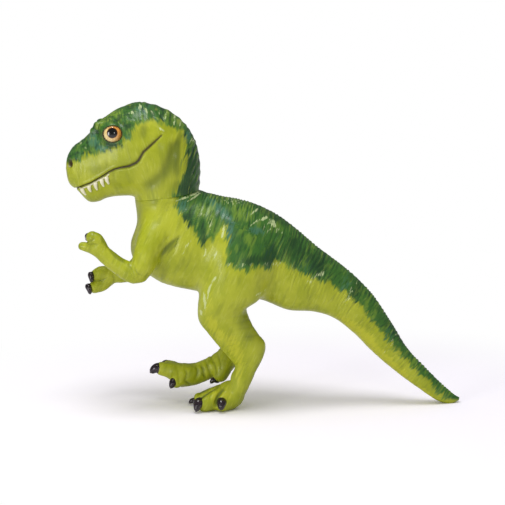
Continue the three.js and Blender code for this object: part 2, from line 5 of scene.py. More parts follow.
import bpy
import numpy as np
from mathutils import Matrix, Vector


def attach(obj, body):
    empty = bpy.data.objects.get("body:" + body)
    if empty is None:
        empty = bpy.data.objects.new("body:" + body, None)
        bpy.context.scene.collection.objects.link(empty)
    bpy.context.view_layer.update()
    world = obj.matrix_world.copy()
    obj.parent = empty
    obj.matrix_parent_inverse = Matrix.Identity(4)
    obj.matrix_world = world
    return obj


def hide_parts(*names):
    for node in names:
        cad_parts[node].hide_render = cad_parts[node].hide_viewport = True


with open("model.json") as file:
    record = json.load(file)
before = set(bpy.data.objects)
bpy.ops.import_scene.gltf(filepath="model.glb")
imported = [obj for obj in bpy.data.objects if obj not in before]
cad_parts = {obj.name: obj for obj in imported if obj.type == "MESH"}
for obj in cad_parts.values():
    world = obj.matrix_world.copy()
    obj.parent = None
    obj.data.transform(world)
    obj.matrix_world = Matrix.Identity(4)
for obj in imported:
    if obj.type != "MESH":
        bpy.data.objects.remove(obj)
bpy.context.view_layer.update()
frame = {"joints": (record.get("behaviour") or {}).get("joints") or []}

# Body casting
# Torso and tail are one hollow skin of soft PVC, cast in a mould and painted by hand. Folds run
# down from a ridged back, the skin swells into each limb root, and a lip rims the neck opening.
MM = 0.001
LENGTH, HEIGHT, STANCE = 192.3, 149.5, 26.0  # mm, the sizes that the tables hold shares of
SHIFT = (-0.192, 0.659)  # mm, from the tables' middle to the middle of the frame's floor
BODY_HALF = 21.0
BODY_SQUARE, BODY_SAG = 2.15, 0.08  # section roundness, and how much fuller it is low down
NECK_PLACE = np.array(frame["joints"][0]["pos_m"]) / MM
NECK_AXIS = np.array(frame["joints"][0]["axis"], float)
NECK_RADIUS = 15.5
NECK_HAIRLINE = 0.03  # half the gap that shows between the head and the body
END_SLACK = 0.4  # mm past a form's end that still counts as on it
TRUNK_ROWS = [
    [0.346, 0.708, 0.177, 0.612, 0, 0.77],
    [0.366, 0.703, 0.161, 0.543, 0, 0.87],
    [0.391, 0.695, 0.168, 0.494, 0, 0.94],
    [0.431, 0.686, 0.229, 0.422, 0, 1],
    [0.476, 0.669, 0.329, 0.388, 0, 0.97],
    [0.529, 0.636, 0.425, 0.372, 0, 0.87],
    [0.582, 0.584, 0.491, 0.358, 0, 0.76],
    [0.632, 0.529, 0.557, 0.325, 0.01, 0.68],
    [0.678, 0.484, 0.621, 0.318, 0.04, 0.58],
    [0.724, 0.435, 0.672, 0.296, 0.08, 0.5],
    [0.771, 0.371, 0.723, 0.245, 0.12, 0.44],
    [0.817, 0.284, 0.775, 0.177, 0.15, 0.37],
    [0.865, 0.185, 0.832, 0.113, 0.19, 0.3],
    [0.912, 0.12, 0.89, 0.056, 0.23, 0.24],
    [0.959, 0.058, 0.944, 0.008, 0.29, 0.18],
    [0.988, 0.026, 0.976, -0.004, 0.33, 0.12],
    [1, 0.017, 0.998, 0.006, 0.34, 0.05],
]  # upper x and z, lower x and z, sideways place, share of the half-width


def place(x, side, z):
    """A point in mm from shares of the figure's length, stance and height."""
    columns = ((np.asarray(x) - 0.5) * LENGTH + SHIFT[0],
               np.asarray(side) * STANCE + SHIFT[1], np.asarray(z) * HEIGHT)
    return np.stack(np.broadcast_arrays(*columns), -1)


def curve_through(points, along):
    """Centripetal Catmull-Rom curve: a cubic between neighbours, whose end slopes come from three
    points each, with knots spaced by the square root of the chord, at least 0.05 apart."""
    points = np.asarray(points, float)
    points = np.vstack([2 * points[0] - points[1], points, 2 * points[-1] - points[-2]])
    reach = np.clip(np.asarray(along, float), 0, 1) * (len(points) - 3)
    first = np.minimum(reach.astype(int), len(points) - 4)
    share = (reach - first)[..., None]
    a, b, c, d = (points[first + step] for step in range(4))

    def knot(start, end):
        return np.maximum(np.sum((end - start) ** 2, -1, keepdims=True) ** 0.25, 0.05)

    before, middle, after = knot(a, b), knot(b, c), knot(c, d)
    leave = ((b - a) / before - (c - a) / (before + middle) + (c - b) / middle) * middle
    arrive = ((c - b) / middle - (d - b) / (middle + after) + (d - c) / after) * middle
    return (b + share * leave + share ** 2 * (3 * (c - b) - 2 * leave - arrive)
            + share ** 3 * (2 * (b - c) + leave + arrive))


def rail_form(rows, half, square, sag=0.0):
    """A form whose sections hang between an upper and a lower rail."""
    rows = np.array(rows)
    return {"upper": place(rows[:, 0], rows[:, 4], rows[:, 1]),
            "lower": place(rows[:, 2], rows[:, 4], rows[:, 3]),
            "half": rows[:, 5:] * half, "square": square, "sag": sag}


def sections(form, along):
    """Middle, half chord and half-width of the sections at shares along a form."""
    upper, lower = curve_through(form["upper"], along), curve_through(form["lower"], along)
    return (upper + lower) / 2, (upper - lower) / 2, curve_through(form["half"], along)


def rail_surface(form, along, turn):
    """Grid of points: each section is a superellipse, the power 2 / square of sine and cosine,
    stood on its chord and widened below its middle by the sag."""
    middle, rise, half = sections(form, along)
    power = 2 / form["square"]
    up = np.sign(np.sin(turn)) * np.abs(np.sin(turn)) ** power
    out = np.sign(np.cos(turn)) * np.abs(np.cos(turn)) ** power * (1 - form["sag"] * up)
    grid = middle[:, None] + rise[:, None] * up[:, None]
    grid[..., 1] += half * out
    return grid


def grid_skin(grid, first_pole, last_pole):
    """Points, quads and triangles of a closed skin: the grid's rings and a fan at each end."""
    rows, sides = grid.shape[:2]
    points = np.vstack([grid.reshape(-1, 3), first_pole, last_pole])
    index = np.arange(rows * sides).reshape(rows, sides)
    turned = np.roll(index, -1, 1)
    quads = np.stack([index[:-1], turned[:-1], turned[1:], index[1:]], -1).reshape(-1, 4)
    fan = np.full(sides, rows * sides)
    tris = np.vstack([np.stack([fan, turned[0], index[0]], 1),
                      np.stack([fan + 1, index[-1], turned[-1]], 1)])
    return points, quads, tris


def face_turn(points, quads, tris):
    """Quads and triangles turned so that the skin's signed volume is positive."""
    flat = np.vstack([tris, quads[:, :3], quads[:, [0, 2, 3]]])
    a, b, c = (points[flat[:, corner]] for corner in range(3))
    if np.sum(a * np.cross(b, c)) < 0:
        return quads[:, ::-1], tris[:, ::-1]
    return quads, tris


def normals_of(points, quads, tris):
    """Unit normals of the points, from the area-weighted sum over their faces."""
    flat = np.vstack([tris, quads[:, :3], quads[:, [0, 2, 3]]])
    a, b, c = (points[flat[:, corner]] for corner in range(3))
    face = np.cross(b - a, c - a)
    total = np.stack([np.bincount(flat.ravel(), np.repeat(face[:, axis], 3), len(points))
                      for axis in range(3)], 1)
    return total / np.maximum(np.linalg.norm(total, axis=1, keepdims=True), 1e-12)


def piece_mesh(name, points, quads, tris, **fields):
    """A smooth-shaded object from arrays in mm, with one point attribute for each field."""
    quads, tris = face_turn(points, quads, tris)
    mesh = bpy.data.meshes.new(name)
    mesh.from_pydata((points * MM).tolist(), [], quads.tolist() + tris.tolist())
    mesh.polygons.foreach_set("use_smooth", np.ones(len(mesh.polygons), bool))
    for field, values in fields.items():
        layer = mesh.attributes.new(field, "FLOAT", "POINT")
        layer.data.foreach_set("value", np.asarray(values, np.float32))
    mesh.update()
    piece = bpy.data.objects.new(name, mesh)
    bpy.context.scene.collection.objects.link(piece)
    return piece


def grain(points, seed):
    """Smooth noise from -1 to 1: random values on a unit lattice, eased between its corners."""
    size = 32
    cells = np.random.default_rng(seed).uniform(-1, 1, (size, size, size))
    base = np.floor(points).astype(int)
    part = points - base
    part = part ** 3 * (part * (part * 6 - 15) + 10)
    total = np.zeros(len(points))
    for corner in np.ndindex(2, 2, 2):
        weight = np.prod(np.where(corner, part, 1 - part), -1)
        total += weight * cells[tuple(((base + corner) % size).T)]
    return total


def ease(low, high, values):
    """Smooth step from 0 at low to 1 at high."""
    share = np.clip((values - low) / (high - low), 0, 1)
    return share * share * (3 - 2 * share)


def section_place(form, points, stations=150, batch=15000, most_move=0.6):
    """Where points lie in a rail form: share along it, height on its chord and place across its
    width (each 1 at the skin), chord and half-width in mm, and how far past its ends. The
    nearest chord in the side view is taken, then moved by the point's distance off it, but by
    at most a share of a station. The points are taken in batches, to save memory."""
    along = np.linspace(0, 1, stations)
    middle, rise, half = sections(form, along)
    middle, chord = middle[:, [0, 2]], np.linalg.norm(rise, axis=1)
    unit = rise[:, [0, 2]] / chord[:, None]
    found = []
    for part in np.array_split(points, len(points) // batch + 1):
        rel_x = part[:, :1] - middle[:, 0]
        rel_z = part[:, 2:] - middle[:, 1]
        height = rel_x * unit[:, 0] + rel_z * unit[:, 1]
        off = rel_x * unit[:, 1] - rel_z * unit[:, 0]
        best = np.argmin(off ** 2 + np.maximum(np.abs(height) - chord, 0) ** 2, axis=1)
        row = np.arange(len(part))
        before, after = np.maximum(best - 1, 0), np.minimum(best + 1, stations - 1)
        slope = (off[row, after] - off[row, before]) / (after - before)
        slope = np.where(np.abs(slope) < 1e-6, -1e-6, slope)
        move = np.clip(-off[row, best] / slope, -most_move, most_move)
        found.append(np.stack([np.clip(best + move, 0, stations - 1),
                               off[row, best] + move * slope], 1))
    spot, past = np.vstack(found).T
    share = spot / (stations - 1)
    middle, rise, half = (np.stack([np.interp(share, along, column) for column in part.T], 1)
                          for part in sections(form, along))
    chord = np.linalg.norm(rise, axis=1)
    up = np.sum((points - middle) * rise, 1) / chord ** 2
    width = half[:, 0] * (1 - form["sag"] * np.clip(up, -1, 1))
    return share, up, (points[:, 1] - middle[:, 1]) / width, chord, width, np.abs(past)


def rail_distance(form, points):
    """Distance of points to a rail form, negative inside: the superellipse radius less one, over
    its slope, joined past the form's ends with the way along it. A form with a length is also
    no deeper inside than its first end is far."""
    share, up, out, chord, width, past = section_place(form, points)
    square = form["square"]
    radius = (np.abs(up) ** square + np.abs(out) ** square) ** (1 / square) + 1e-6
    slope = np.hypot((np.abs(up) / radius) ** (square - 1) / chord,
                     (np.abs(out) / radius) ** (square - 1) / width)
    distance = (radius - 1) / slope
    if "length" in form:
        distance = np.maximum(distance, -share * form["length"])
    beyond = np.maximum(past - END_SLACK, 0)
    return np.where(beyond > 0, np.hypot(np.maximum(distance, 0), beyond), distance)


def limb_path(rows, radius, stations):
    """Shares along a round limb, and its middle and its radius in mm there."""
    rows = np.array(rows)
    share = np.linspace(0, 1, stations)
    path = curve_through(place(rows[:, 0], rows[:, 1], rows[:, 2]), share)
    return share, path, curve_through(rows[:, 3:] * radius, share)[:, 0]


def tube_distance(rows, radius, points, stations=40):
    """Distance of points to a round limb: the least over many balls along its path."""
    _, path, girth = limb_path(rows, radius, stations)
    best = np.full(len(points), np.inf)
    for centre, reach in zip(path, girth):
        best = np.minimum(best, np.linalg.norm(points - centre, axis=1) - reach)
    return best


def smooth_union(first, second, width):
    """Least of two distances, lowered by a parabola where they differ by less than the width."""
    lap = np.maximum(width - np.abs(first - second), 0)
    return np.minimum(first, second) - lap ** 2 / (4 * width)


TRUNK = rail_form(TRUNK_ROWS, BODY_HALF, BODY_SQUARE, BODY_SAG)
NECK_ACROSS = np.array([NECK_AXIS[2], 0, -NECK_AXIS[0]])


def neck_point(across, up):
    """A point of the neck joint's own frame: across towards the nape, and up its axis."""
    return NECK_PLACE + NECK_ACROSS * across + NECK_AXIS * up


TRUNK["upper"] = np.vstack([neck_point(NECK_RADIUS, -NECK_HAIRLINE), TRUNK["upper"]])
TRUNK["lower"] = np.vstack([neck_point(-NECK_RADIUS, -NECK_HAIRLINE), TRUNK["lower"]])
TRUNK["half"] = np.vstack([[NECK_RADIUS], TRUNK["half"]])

# Legs
# The standing left leg and the lifted right leg are solid PVC mouldings, glued by a spigot in
# the hip and filled over, so no seam shows there. Toes, pads and the inner dewclaw lobe are one
# with the leg, whose shank is ringed with creases.
LEG_HALF, LEG_SQUARE, TOE_RADIUS = 11.0, 2.1, 4.0
LEG_LENGTH = 112.0  # mm from hip to sole along the leg, for creases at a real spacing
LEG_VOXEL = 0.5
HIP_BLEND, TOE_BLEND = 5.5, 1.8  # widths of the fillets at the hip and between the toes
RING_SPACING, RING_DEPTH, RING_WANDER = 2.9, 0.14, 1.6  # mm, of the creases round the shank
FOLD_DEPTH, FREE_FOLD_DEPTH = 0.06, 0.07  # mm, of the fine folds, and more of it off the hip
NO_TRIS = np.zeros((0, 3), int)  # for skins that are all quads
LEFT_LEG = rail_form([
    [0.405, 0.625, 0.475, 0.59, -0.5, 0.4],
    [0.372, 0.58, 0.512, 0.51, -0.56, 0.85],
    [0.352, 0.5, 0.5, 0.43, -0.59, 1.05],
    [0.339, 0.417, 0.484, 0.377, -0.57, 1.06],
    [0.331, 0.352, 0.454, 0.346, -0.53, 0.94],
    [0.334, 0.302, 0.454, 0.331, -0.48, 0.78],
    [0.356, 0.261, 0.466, 0.291, -0.44, 0.67],
    [0.383, 0.215, 0.484, 0.253, -0.38, 0.59],
    [0.406, 0.179, 0.499, 0.225, -0.35, 0.51],
    [0.423, 0.147, 0.496, 0.184, -0.31, 0.45],
    [0.413, 0.113, 0.476, 0.129, -0.27, 0.45],
    [0.408, 0.074, 0.458, 0.074, -0.23, 0.49],
    [0.391, 0.04, 0.441, 0.032, -0.18, 0.5],
    [0.376, -0.006, 0.416, -0.01, -0.13, 0.34],
], LEG_HALF, LEG_SQUARE)
RIGHT_LEG = rail_form([
    [0.405, 0.625, 0.475, 0.59, 0.5, 0.4],
    [0.372, 0.58, 0.512, 0.51, 0.56, 0.85],
    [0.35, 0.49, 0.497, 0.42, 0.58, 1.05],
    [0.331, 0.39, 0.458, 0.35, 0.56, 1],
    [0.333, 0.318, 0.443, 0.325, 0.54, 0.84],
    [0.346, 0.272, 0.447, 0.297, 0.52, 0.72],
    [0.366, 0.234, 0.458, 0.265, 0.51, 0.63],
    [0.383, 0.203, 0.472, 0.228, 0.5, 0.56],
    [0.386, 0.181, 0.474, 0.186, 0.49, 0.5],
    [0.373, 0.164, 0.457, 0.14, 0.48, 0.47],
    [0.35, 0.145, 0.414, 0.11, 0.46, 0.47],
    [0.316, 0.128, 0.366, 0.079, 0.46, 0.49],
    [0.283, 0.124, 0.319, 0.054, 0.46, 0.53],
    [0.262, 0.12, 0.288, 0.051, 0.46, 0.45],
], LEG_HALF, LEG_SQUARE)
LEFT_LEG["length"] = RIGHT_LEG["length"] = LEG_LENGTH
LEFT_TOES = [
    [[0.41, -0.12, 0.05, 1.45], [0.371, 0.05, 0.033, 1.22], [0.336, 0.14, 0.021, 0.92]],
    [[0.41, -0.15, 0.05, 1.45], [0.375, -0.27, 0.036, 1.25], [0.347, -0.38, 0.026, 1.05]],
    [[0.415, -0.15, 0.04, 1.35], [0.402, -0.27, 0.03, 1.15], [0.391, -0.37, 0.024, 0.95]],
    [[0.452, -0.18, 0.14, 1.1], [0.449, 0, 0.115, 0.9], [0.445, 0.07, 0.098, 0.75]],
]  # x, sideways place, z and share of the toe radius; the last is the dewclaw's lobe
RIGHT_TOES = [
    [[0.296, 0.38, 0.09, 1.25], [0.281, 0.29, 0.082, 1], [0.272, 0.23, 0.076, 0.85]],
    [[0.285, 0.46, 0.087, 1.35], [0.254, 0.46, 0.104, 1], [0.234, 0.46, 0.109, 0.85]],
    [[0.285, 0.58, 0.089, 1.15], [0.262, 0.69, 0.101, 0.9], [0.249, 0.75, 0.107, 0.75]],
    [[0.405, 0.37, 0.15, 1.25], [0.392, 0.29, 0.12, 1.15], [0.385, 0.25, 0.098, 0.95]],
]


def ring_angles(sides):
    """Angles of points evenly round a ring."""
    return np.linspace(0, 2 * np.pi, sides, endpoint=False)


def unit_rows(vectors):
    """Vectors scaled to length 1."""
    return vectors / np.linalg.norm(vectors, axis=1, keepdims=True)


def rings_round(centres, radii, heading, side, sides):
    """Grid of rings square to a heading, each with a middle and a radius. Their first points lie
    square to a side direction."""
    across = unit_rows(np.cross(side, heading))
    rise = np.cross(heading, across)
    turn = ring_angles(sides)[:, None]
    ring = across[:, None] * np.cos(turn) + rise[:, None] * np.sin(turn)
    return centres[:, None] + ring * radii[:, None, None]


def tube_skin(rows, radius, steps=26, sides=28):
    """Closed skin of a round limb: rings square to its path, with a half ball at each end."""
    _, path, girth = limb_path(rows, radius, steps)
    heading = unit_rows(np.gradient(path, axis=0))
    lean = np.radians([78, 62, 46, 30, 15])  # of the rings of a half ball
    out, inward = np.sin(lean)[:, None], np.cos(lean)
    ends = heading[0] * girth[0], heading[-1] * girth[-1]
    centres = np.vstack([path[0] - ends[0] * out, path, (path[-1] + ends[1] * out)[::-1]])
    radii = np.concatenate([girth[0] * inward, girth, (girth[-1] * inward)[::-1]])
    heading = np.vstack([np.repeat(heading[:1], len(lean), 0), heading,
                         np.repeat(heading[-1:], len(lean), 0)])
    chord = np.abs(path[-1] - path[0])
    side = np.eye(3)[1 if chord[1] < chord[0] + chord[2] else 2]
    grid = rings_round(centres, radii, heading, side, sides)
    return grid_skin(grid, path[0] - ends[0], path[-1] + ends[1])


def rail_skin(form, stations=90, sides=56):
    """Closed skin of a rail form, with a flat fan at each end."""
    grid = rail_surface(form, np.linspace(0, 1, stations), ring_angles(sides))
    return grid_skin(grid, grid[0].mean(0), grid[-1].mean(0))


def joined_skins(skins):
    """Points, quads and triangles of several closed skins put together in one mesh."""
    points, quads, tris, start = [], [], [], 0
    for part_points, part_quads, part_tris in skins:
        part_quads, part_tris = face_turn(part_points, part_quads, part_tris)
        points.append(part_points)
        quads.append(part_quads + start)
        tris.append(part_tris + start)
        start += len(part_points)
    return np.vstack(points), np.vstack(quads), np.vstack(tris)


def cast_whole(skins, voxel):
    """Overlapping closed skins remade as one on a grid of voxels, in mm: points and quads."""
    points, quads, tris = joined_skins(skins)
    mesh = bpy.data.meshes.new("pattern")
    mesh.from_pydata(points.tolist(), [], quads.tolist() + tris.tolist())
    pattern = bpy.data.objects.new("pattern", mesh)
    bpy.context.scene.collection.objects.link(pattern)
    remake = pattern.modifiers.new("remake", "REMESH")
    remake.mode, remake.voxel_size = "VOXEL", voxel
    remade = pattern.evaluated_get(bpy.context.evaluated_depsgraph_get()).to_mesh()
    spots = np.zeros(len(remade.vertices) * 3)
    remade.vertices.foreach_get("co", spots)
    corners = np.zeros(len(remade.loops), int)
    remade.loops.foreach_get("vertex_index", corners)
    bpy.data.objects.remove(pattern)
    bpy.data.meshes.remove(mesh)
    return spots.reshape(-1, 3), corners.reshape(-1, 4)


def slide(points, field, target=0.0, rounds=2, reach=1.5):
    """Moves points along a field's slope, by at most a reach in mm each round, until the field
    has its target value there. The slope comes from a small probe along each axis."""
    probe, least_slope = 0.05, 0.5
    for _ in range(rounds):
        value = field(points)
        slope = np.stack([(field(points + probe * axis) - value) / probe for axis in np.eye(3)], 1)
        size = np.maximum(np.sum(slope ** 2, 1), least_slope ** 2)
        points = points - np.clip((value - target) / size, -reach, reach)[:, None] * slope
    return points


def settle(points, own, other, width, lap=0.02, dive=0.6, margin=1.5, deepest=7):
    """Moves a form's points onto the smooth union of its own and another field. Points inside
    the other form end below the union by a share of their depth, the lap, and by the dive for
    each mm past the margin. Those past the deepest, in mm, stay where they are."""
    points = points.copy()
    start = other(points)
    near = np.flatnonzero((start < width) & (start > -deepest))
    depth = np.maximum(-start[near], 0)
    target = -(lap * depth + dive * np.maximum(depth - margin, 0))
    points[near] = slide(points[near], lambda spots: smooth_union(own(spots), other(spots), width),
                         target, rounds=3)
    return points


def trunk_field(points):
    """Distance to the body casting's form."""
    return rail_distance(TRUNK, points)


def leg_field(form, toes):
    """Distance function of a leg with its toes, filleted where they join."""
    def field(points):
        whole = rail_distance(form, points)
        for rows in toes:
            whole = smooth_union(whole, tube_distance(rows, TOE_RADIUS, points), TOE_BLEND)
        return whole
    return field


# The dark green over the back and tail, whose lower edge zigzags down the flank.
SADDLE = np.array([
    (-43.3, 105.5), (-43.2, 101.3), (-40.4, 95.8), (-36.8, 91.7), (-33.9, 88.5), (-31.5, 85),
    (-29.4, 82), (-27.5, 84.5), (-25.9, 86.3), (-23, 90), (-20.8, 93.2), (-19.6, 91),
    (-18.8, 87.3), (-18.1, 81.1), (-18.8, 74.4), (-12.4, 73.3), (-9.5, 71.4), (-6.3, 73.2),
    (-2.5, 72.4), (1.8, 71.2), (4.5, 74.6), (9, 75.4), (11.4, 71.2), (15, 70),
    (18.1, 67.3), (21.5, 67), (24.9, 63.9), (28.5, 63.6), (32.1, 61.2), (38.5, 58.4),
    (42.9, 53.2), (47.3, 51.1), (48.9, 46.5), (55.6, 38.7), (61.9, 30.3), (70.6, 21),
    (77.8, 13.2), (83.4, 7.7), (88.6, 3.2), (97, -0.5), (99, -3), (110, 20),
    (40, 120), (-30, 130), (-43.3, 118)])  # x and z, closed well above the back


def outline_distance(outline, points):
    """Distance in the side view from points to a closed outline's edge, positive inside: the
    least distance to its edges, signed by how often a line upwards crosses them."""
    start, end = outline, np.roll(outline, -1, 0)
    edge = end - start
    best, inside = np.full(len(points), np.inf), np.zeros(len(points), bool)
    x, z = points[:, 0], points[:, 2]
    for (x0, z0), (dx, dz) in zip(start, edge):
        share = np.clip(((x - x0) * dx + (z - z0) * dz) / (dx * dx + dz * dz), 0, 1)
        best = np.minimum(best, np.hypot(x - x0 - share * dx, z - z0 - share * dz))
        if dx:
            spans = (x < x0) != (x < x0 + dx)
            inside ^= spans & (z < z0 + (x - x0) * dz / dx)
    return np.where(inside, best, -best)


def bell(values, middle, width, power=2):
    """Smooth bump of height 1: e to the minus power of the distance from a middle, in widths."""
    return np.exp(-((values - middle) / width) ** power)


def mound(points, spot, sizes, turn=0.0, power=2.0):
    """A round bump of height 1 in the side view, with a half-size along each axis in mm and a
    turn in degrees, made like a bell."""
    dx, dz = points[:, 0] - spot[0], points[:, 2] - spot[1]
    cos, sin = math.cos(math.radians(turn)), math.sin(math.radians(turn))
    radius = np.hypot((dx * cos + dz * sin) / sizes[0], (dz * cos - dx * sin) / sizes[1])
    return np.exp(-radius ** power)


def rings(along, spacing, sharpness=0.3):
    """Creases square to a limb: narrow grooves of depth 1 at a real spacing along it."""
    share = np.abs(along / spacing - np.round(along / spacing)) * 2
    return -bell(share, 0, sharpness)


def skin_folds(points, seed):
    """Fine folds all over the vinyl skin, from -1 to 1: noise of two sizes in mm, stretched up
    and down, the smaller one warped by the wider one."""
    wide_mm, fine_mm = [3.2, 3.6, 7.0], [1.5, 1.8, 3.4]
    wide = grain(points / wide_mm, seed)
    return 0.55 * grain(points / fine_mm + wide[:, None] * 0.6, seed + 1) + 0.45 * wide


# Brushwork of the body and limbs: light flecks of dry-brush and painted glints, painted shade,
# and strokes of teal, deep green and yellow-green, the yellow-green partly painted light.
TRUNK_PAINT = {
    # Light flecks: dry-brush, and painted glints and highlights, as on the neck's lip, the back and
    # the thigh's front.
    "drybrush_and_glint": [
        (-37, 105.4, 0.5, 6, 73, 1.6), (-34.6, 104.6, 0.4, 3.4, 62, 1.4),
        (-15.3, 102.2, 8, 2.2, 5, 0.5), (0, 92, 5.5, 4.5, -40, 0.4),
        (-5.6, 93.1, 0.45, 2.4, 58, 0.8), (-0.6, 94.6, 0.6, 2, 80, 0.95),
        (3.4, 92.2, 1.3, 1.9, 145, 0.75), (-5.4, 97.8, 0.45, 2.6, 61, 1.1),
        (5.6, 89.4, 1.1, 1.6, 15, 0.7), (1.2, 89, 0.5, 1.5, 40, 0.7),
        (7.6, 87.6, 0.4, 1.4, 5, 0.85),
        (-20.4, 89.6, 0.6, 4.2, 8, 1.2), (-28.8, 79.8, 0.8, 2.2, 10, 1),
        (-37.5, 82.9, 0.7, 4.5, 30, 0.8), (-24.2, 78.6, 0.7, 4.2, 25, 0.7),
        (-25.4, 66, 0.8, 5.5, 28, 0.75), (-27.4, 60, 0.7, 4.5, 10, 0.7),
        (-3.5, 60, 0.7, 3.6, 70, 0.7), (-29.2, 56.5, 0.8, 5, -3, 1),
        (-30.9, 50.2, 0.9, 2, -15, 0.9),
        (-59.9, 80.1, 1.2, 2.6, 5, 0.5), (-14, 74.6, 8, 1.4, 0, 0.5),
        (4, 73.5, 9, 1.6, 5, 0.5), (-31, 97.5, 4, 2, 20, 0.55),
        (-26, 93, 1.6, 4.5, 12, 0.6), (40, 56, 9, 2.2, -60, 0.5),
        (24, 66.5, 7, 1.6, -30, 0.55), (62, 33, 10, 1.6, -50, 0.5)],
    "shade": [
        (-44.4, 83.6, 2.2, 7, 42, 0.6), (-11, 45.5, 5, 6, 0, 0.5),
        (-6.5, 52.5, 3, 3, 0, 0.6), (-8, 37.5, 3.5, 3, 0, 0.45),
        (-76.2, 85.8, 1.5, 4.2, -34, 0.9), (-72.4, 80.9, 1.4, 4.2, -38, 0.9),
        (-68.6, 77.2, 1.1, 3.6, -55, 0.85), (-79.6, 89.4, 1.1, 3.4, 80, 0.5),
        (-76.9, 68, 2.8, 1.8, 10, 0.8), (-72.5, 66.8, 2.5, 1.6, 0, 0.6),
        (-48.2, 80.6, 1.5, 5, 40, 0.4),
        (-56.5, 70, 2, 3, 0, 0.35)],
    "teal": [
        (-39.6, 101.5, 3, 3.2, 0, 0.9), (-22.4, 99.4, 2.8, 8.5, 130, 1),
        (-17, 88.6, 2, 6.5, 0, 0.95), (-4.8, 89.6, 5, 2, 10, 0.9),
        (1, 80, 4, 5, 0, 0.5), (20, 72, 4, 5, 0, 0.5),
        (38, 62, 6, 4, -60, 0.5), (60, 38, 6, 3.5, -50, 0.5)],
    "fresh_and_lit": [
        (-30, 99, 5.5, 3.6, 0, 0.9), (-26.5, 92.5, 2.6, 7, 8, 0.75),
        (-11.5, 97, 3.6, 8, 110, 0.8), (-8.8, 86, 2.6, 4, 0, 0.75),
        (-14, 82, 3, 1.6, 90, 0.45), (5, 90, 5, 4, 0, 0.4),
        (30, 66, 4, 3, 0, 0.5), (52, 47, 7, 2, 130, 0.6),
        (72, 24, 7, 1.8, 130, 0.55), (44, 38.5, 4, 14, 128, 1),
        (60, 21.5, 3.6, 16, 134, 1.2), (78, 6, 2.4, 9, 132, 1),
        (-19.5, 78, 3, 8, 15, 0.6),
        (-26.5, 58, 3, 14, 0, 0.5), (-44, 96, 3, 7, 20, 0.5),
        # Yellow-green here is painted light: a lighter knee front, shin and near foot.
        (-24.5, 43, 3.5, 7, -25, 0.8), (-15.5, 33, 4.5, 8, -25, 0.85),
        (-12.8, 20, 2.5, 8, 5, 0.7), (-22, 8, 6.5, 4.5, 0, 0.9)],
    "deep": [
        (-37.5, 94.5, 3.6, 4.5, -20, 0.8), (-30.2, 90.5, 2.2, 6, 0, 0.75),
        (-28.9, 83, 2.6, 4, 0, 1), (-6.5, 76.5, 6, 3, 0, 0.85),
        (2, 78.5, 4, 7, 0, 0.9), (13, 79.5, 6.5, 9, -10, 0.8),
        (25, 72, 6, 8, -20, 0.85), (44, 60, 9, 3.5, 125, 0.8),
        (3, 95.5, 12, 2.6, 25, 0.75), (66, 35, 14, 2.6, 48, 0.8)],
}  # x, z, half-sizes across and along, lean from upright in degrees, and strength


def brushwork(points, marks):
    """How far each sort of brushwork covers points, from 0 to 1: soft-edged ovals in the side
    view, added together."""
    return {sort: np.clip(sum(strength * mound(points, (x, z), (across, along), -lean, 2.6)
                              for x, z, across, along, lean, strength in rows), 0, 1)
            for sort, rows in marks.items()}


def stroke(line, points):
    """Distance in the side view from points to an open line, the share of its length where it is
    nearest, and how far above it they lie."""
    line = np.array(line)
    edge = np.diff(line, axis=0)
    length = np.hypot(*edge.T)
    before = np.cumsum(length) - length
    best, share, above = (np.full(len(points), value) for value in (np.inf, 0.0, 0.0))
    x, z = points[:, 0], points[:, 2]
    for (x0, z0), (dx, dz), long, past in zip(line, edge, length, before):
        along = np.clip(((x - x0) * dx + (z - z0) * dz) / long ** 2, 0, 1)
        apart = np.hypot(x - x0 - along * dx, z - z0 - along * dz)
        nearer = apart < best
        best = np.where(nearer, apart, best)
        share = np.where(nearer, (past + along * long) / length.sum(), share)
        above = np.where(nearer, ((z - z0) * dx - (x - x0) * dz) / long, above)
    return best, share, above


def creased(points, cuts):
    """Depth in mm of creases cut along lines of the side view, each with a half-width and a
    depth. They are deepest in the middle and run out at both ends."""
    depth = np.zeros(len(points))
    for line, width, deepest in cuts:
        apart, share, _ = stroke(line, points)
        ends = np.sin(np.pi * share) ** 0.4
        depth = np.maximum(depth, deepest * bell(apart, 0, width) * ends)
    return depth


def painted_limb(name, points, quads, relief, wash):
    """A limb's finished object, painted with the same strokes as the body round it."""
    return piece_mesh(name + "_skin", points, quads, NO_TRIS,
                      dark=outline_distance(SADDLE, points), relief=relief,
                      wash=np.clip(wash, 0, 1), over=points[:, 0] - 0.4 * points[:, 2],
                      down=points[:, 2], **brushwork(points, TRUNK_PAINT))


LEFT_LEG_CUTS = [
    ([(-34.3, 5.2), (-31.8, 7.2), (-28.3, 9.5), (-24.8, 11.1), (-22.3, 12)], 0.75, 1),
    ([(-23.9, 2.4), (-24.2, 5.4), (-23.2, 7.9), (-21.6, 10), (-19.8, 11.2)], 0.85, 1.2),
    ([(-18.7, 48), (-12.4, 48.6), (-5.5, 49.8)], 0.6, 0.12),
    ([(-18.4, 45.1), (-11.9, 45.6), (-5.5, 46.8)], 0.5, 0.1),
    ([(-17.3, 41.8), (-9.5, 42.5), (-3.5, 43.2)], 0.5, 0.1),
    ([(-16.4, 38.7), (-8.1, 38), (-1.5, 38.5)], 0.6, 0.12),
    ([(-14.9, 36), (-6.1, 36.7)], 0.5, 0.1),
    ([(-9.6, 53), (-10.4, 50), (-9.6, 47.5)], 0.8, 0.25),
    ([(-31.5, 12.2), (-29.2, 9.4), (-29.5, 7)], 0.4, 0.25),
    ([(-28.4, 12.8), (-26.4, 9.6), (-27, 6.4)], 0.4, 0.25)]
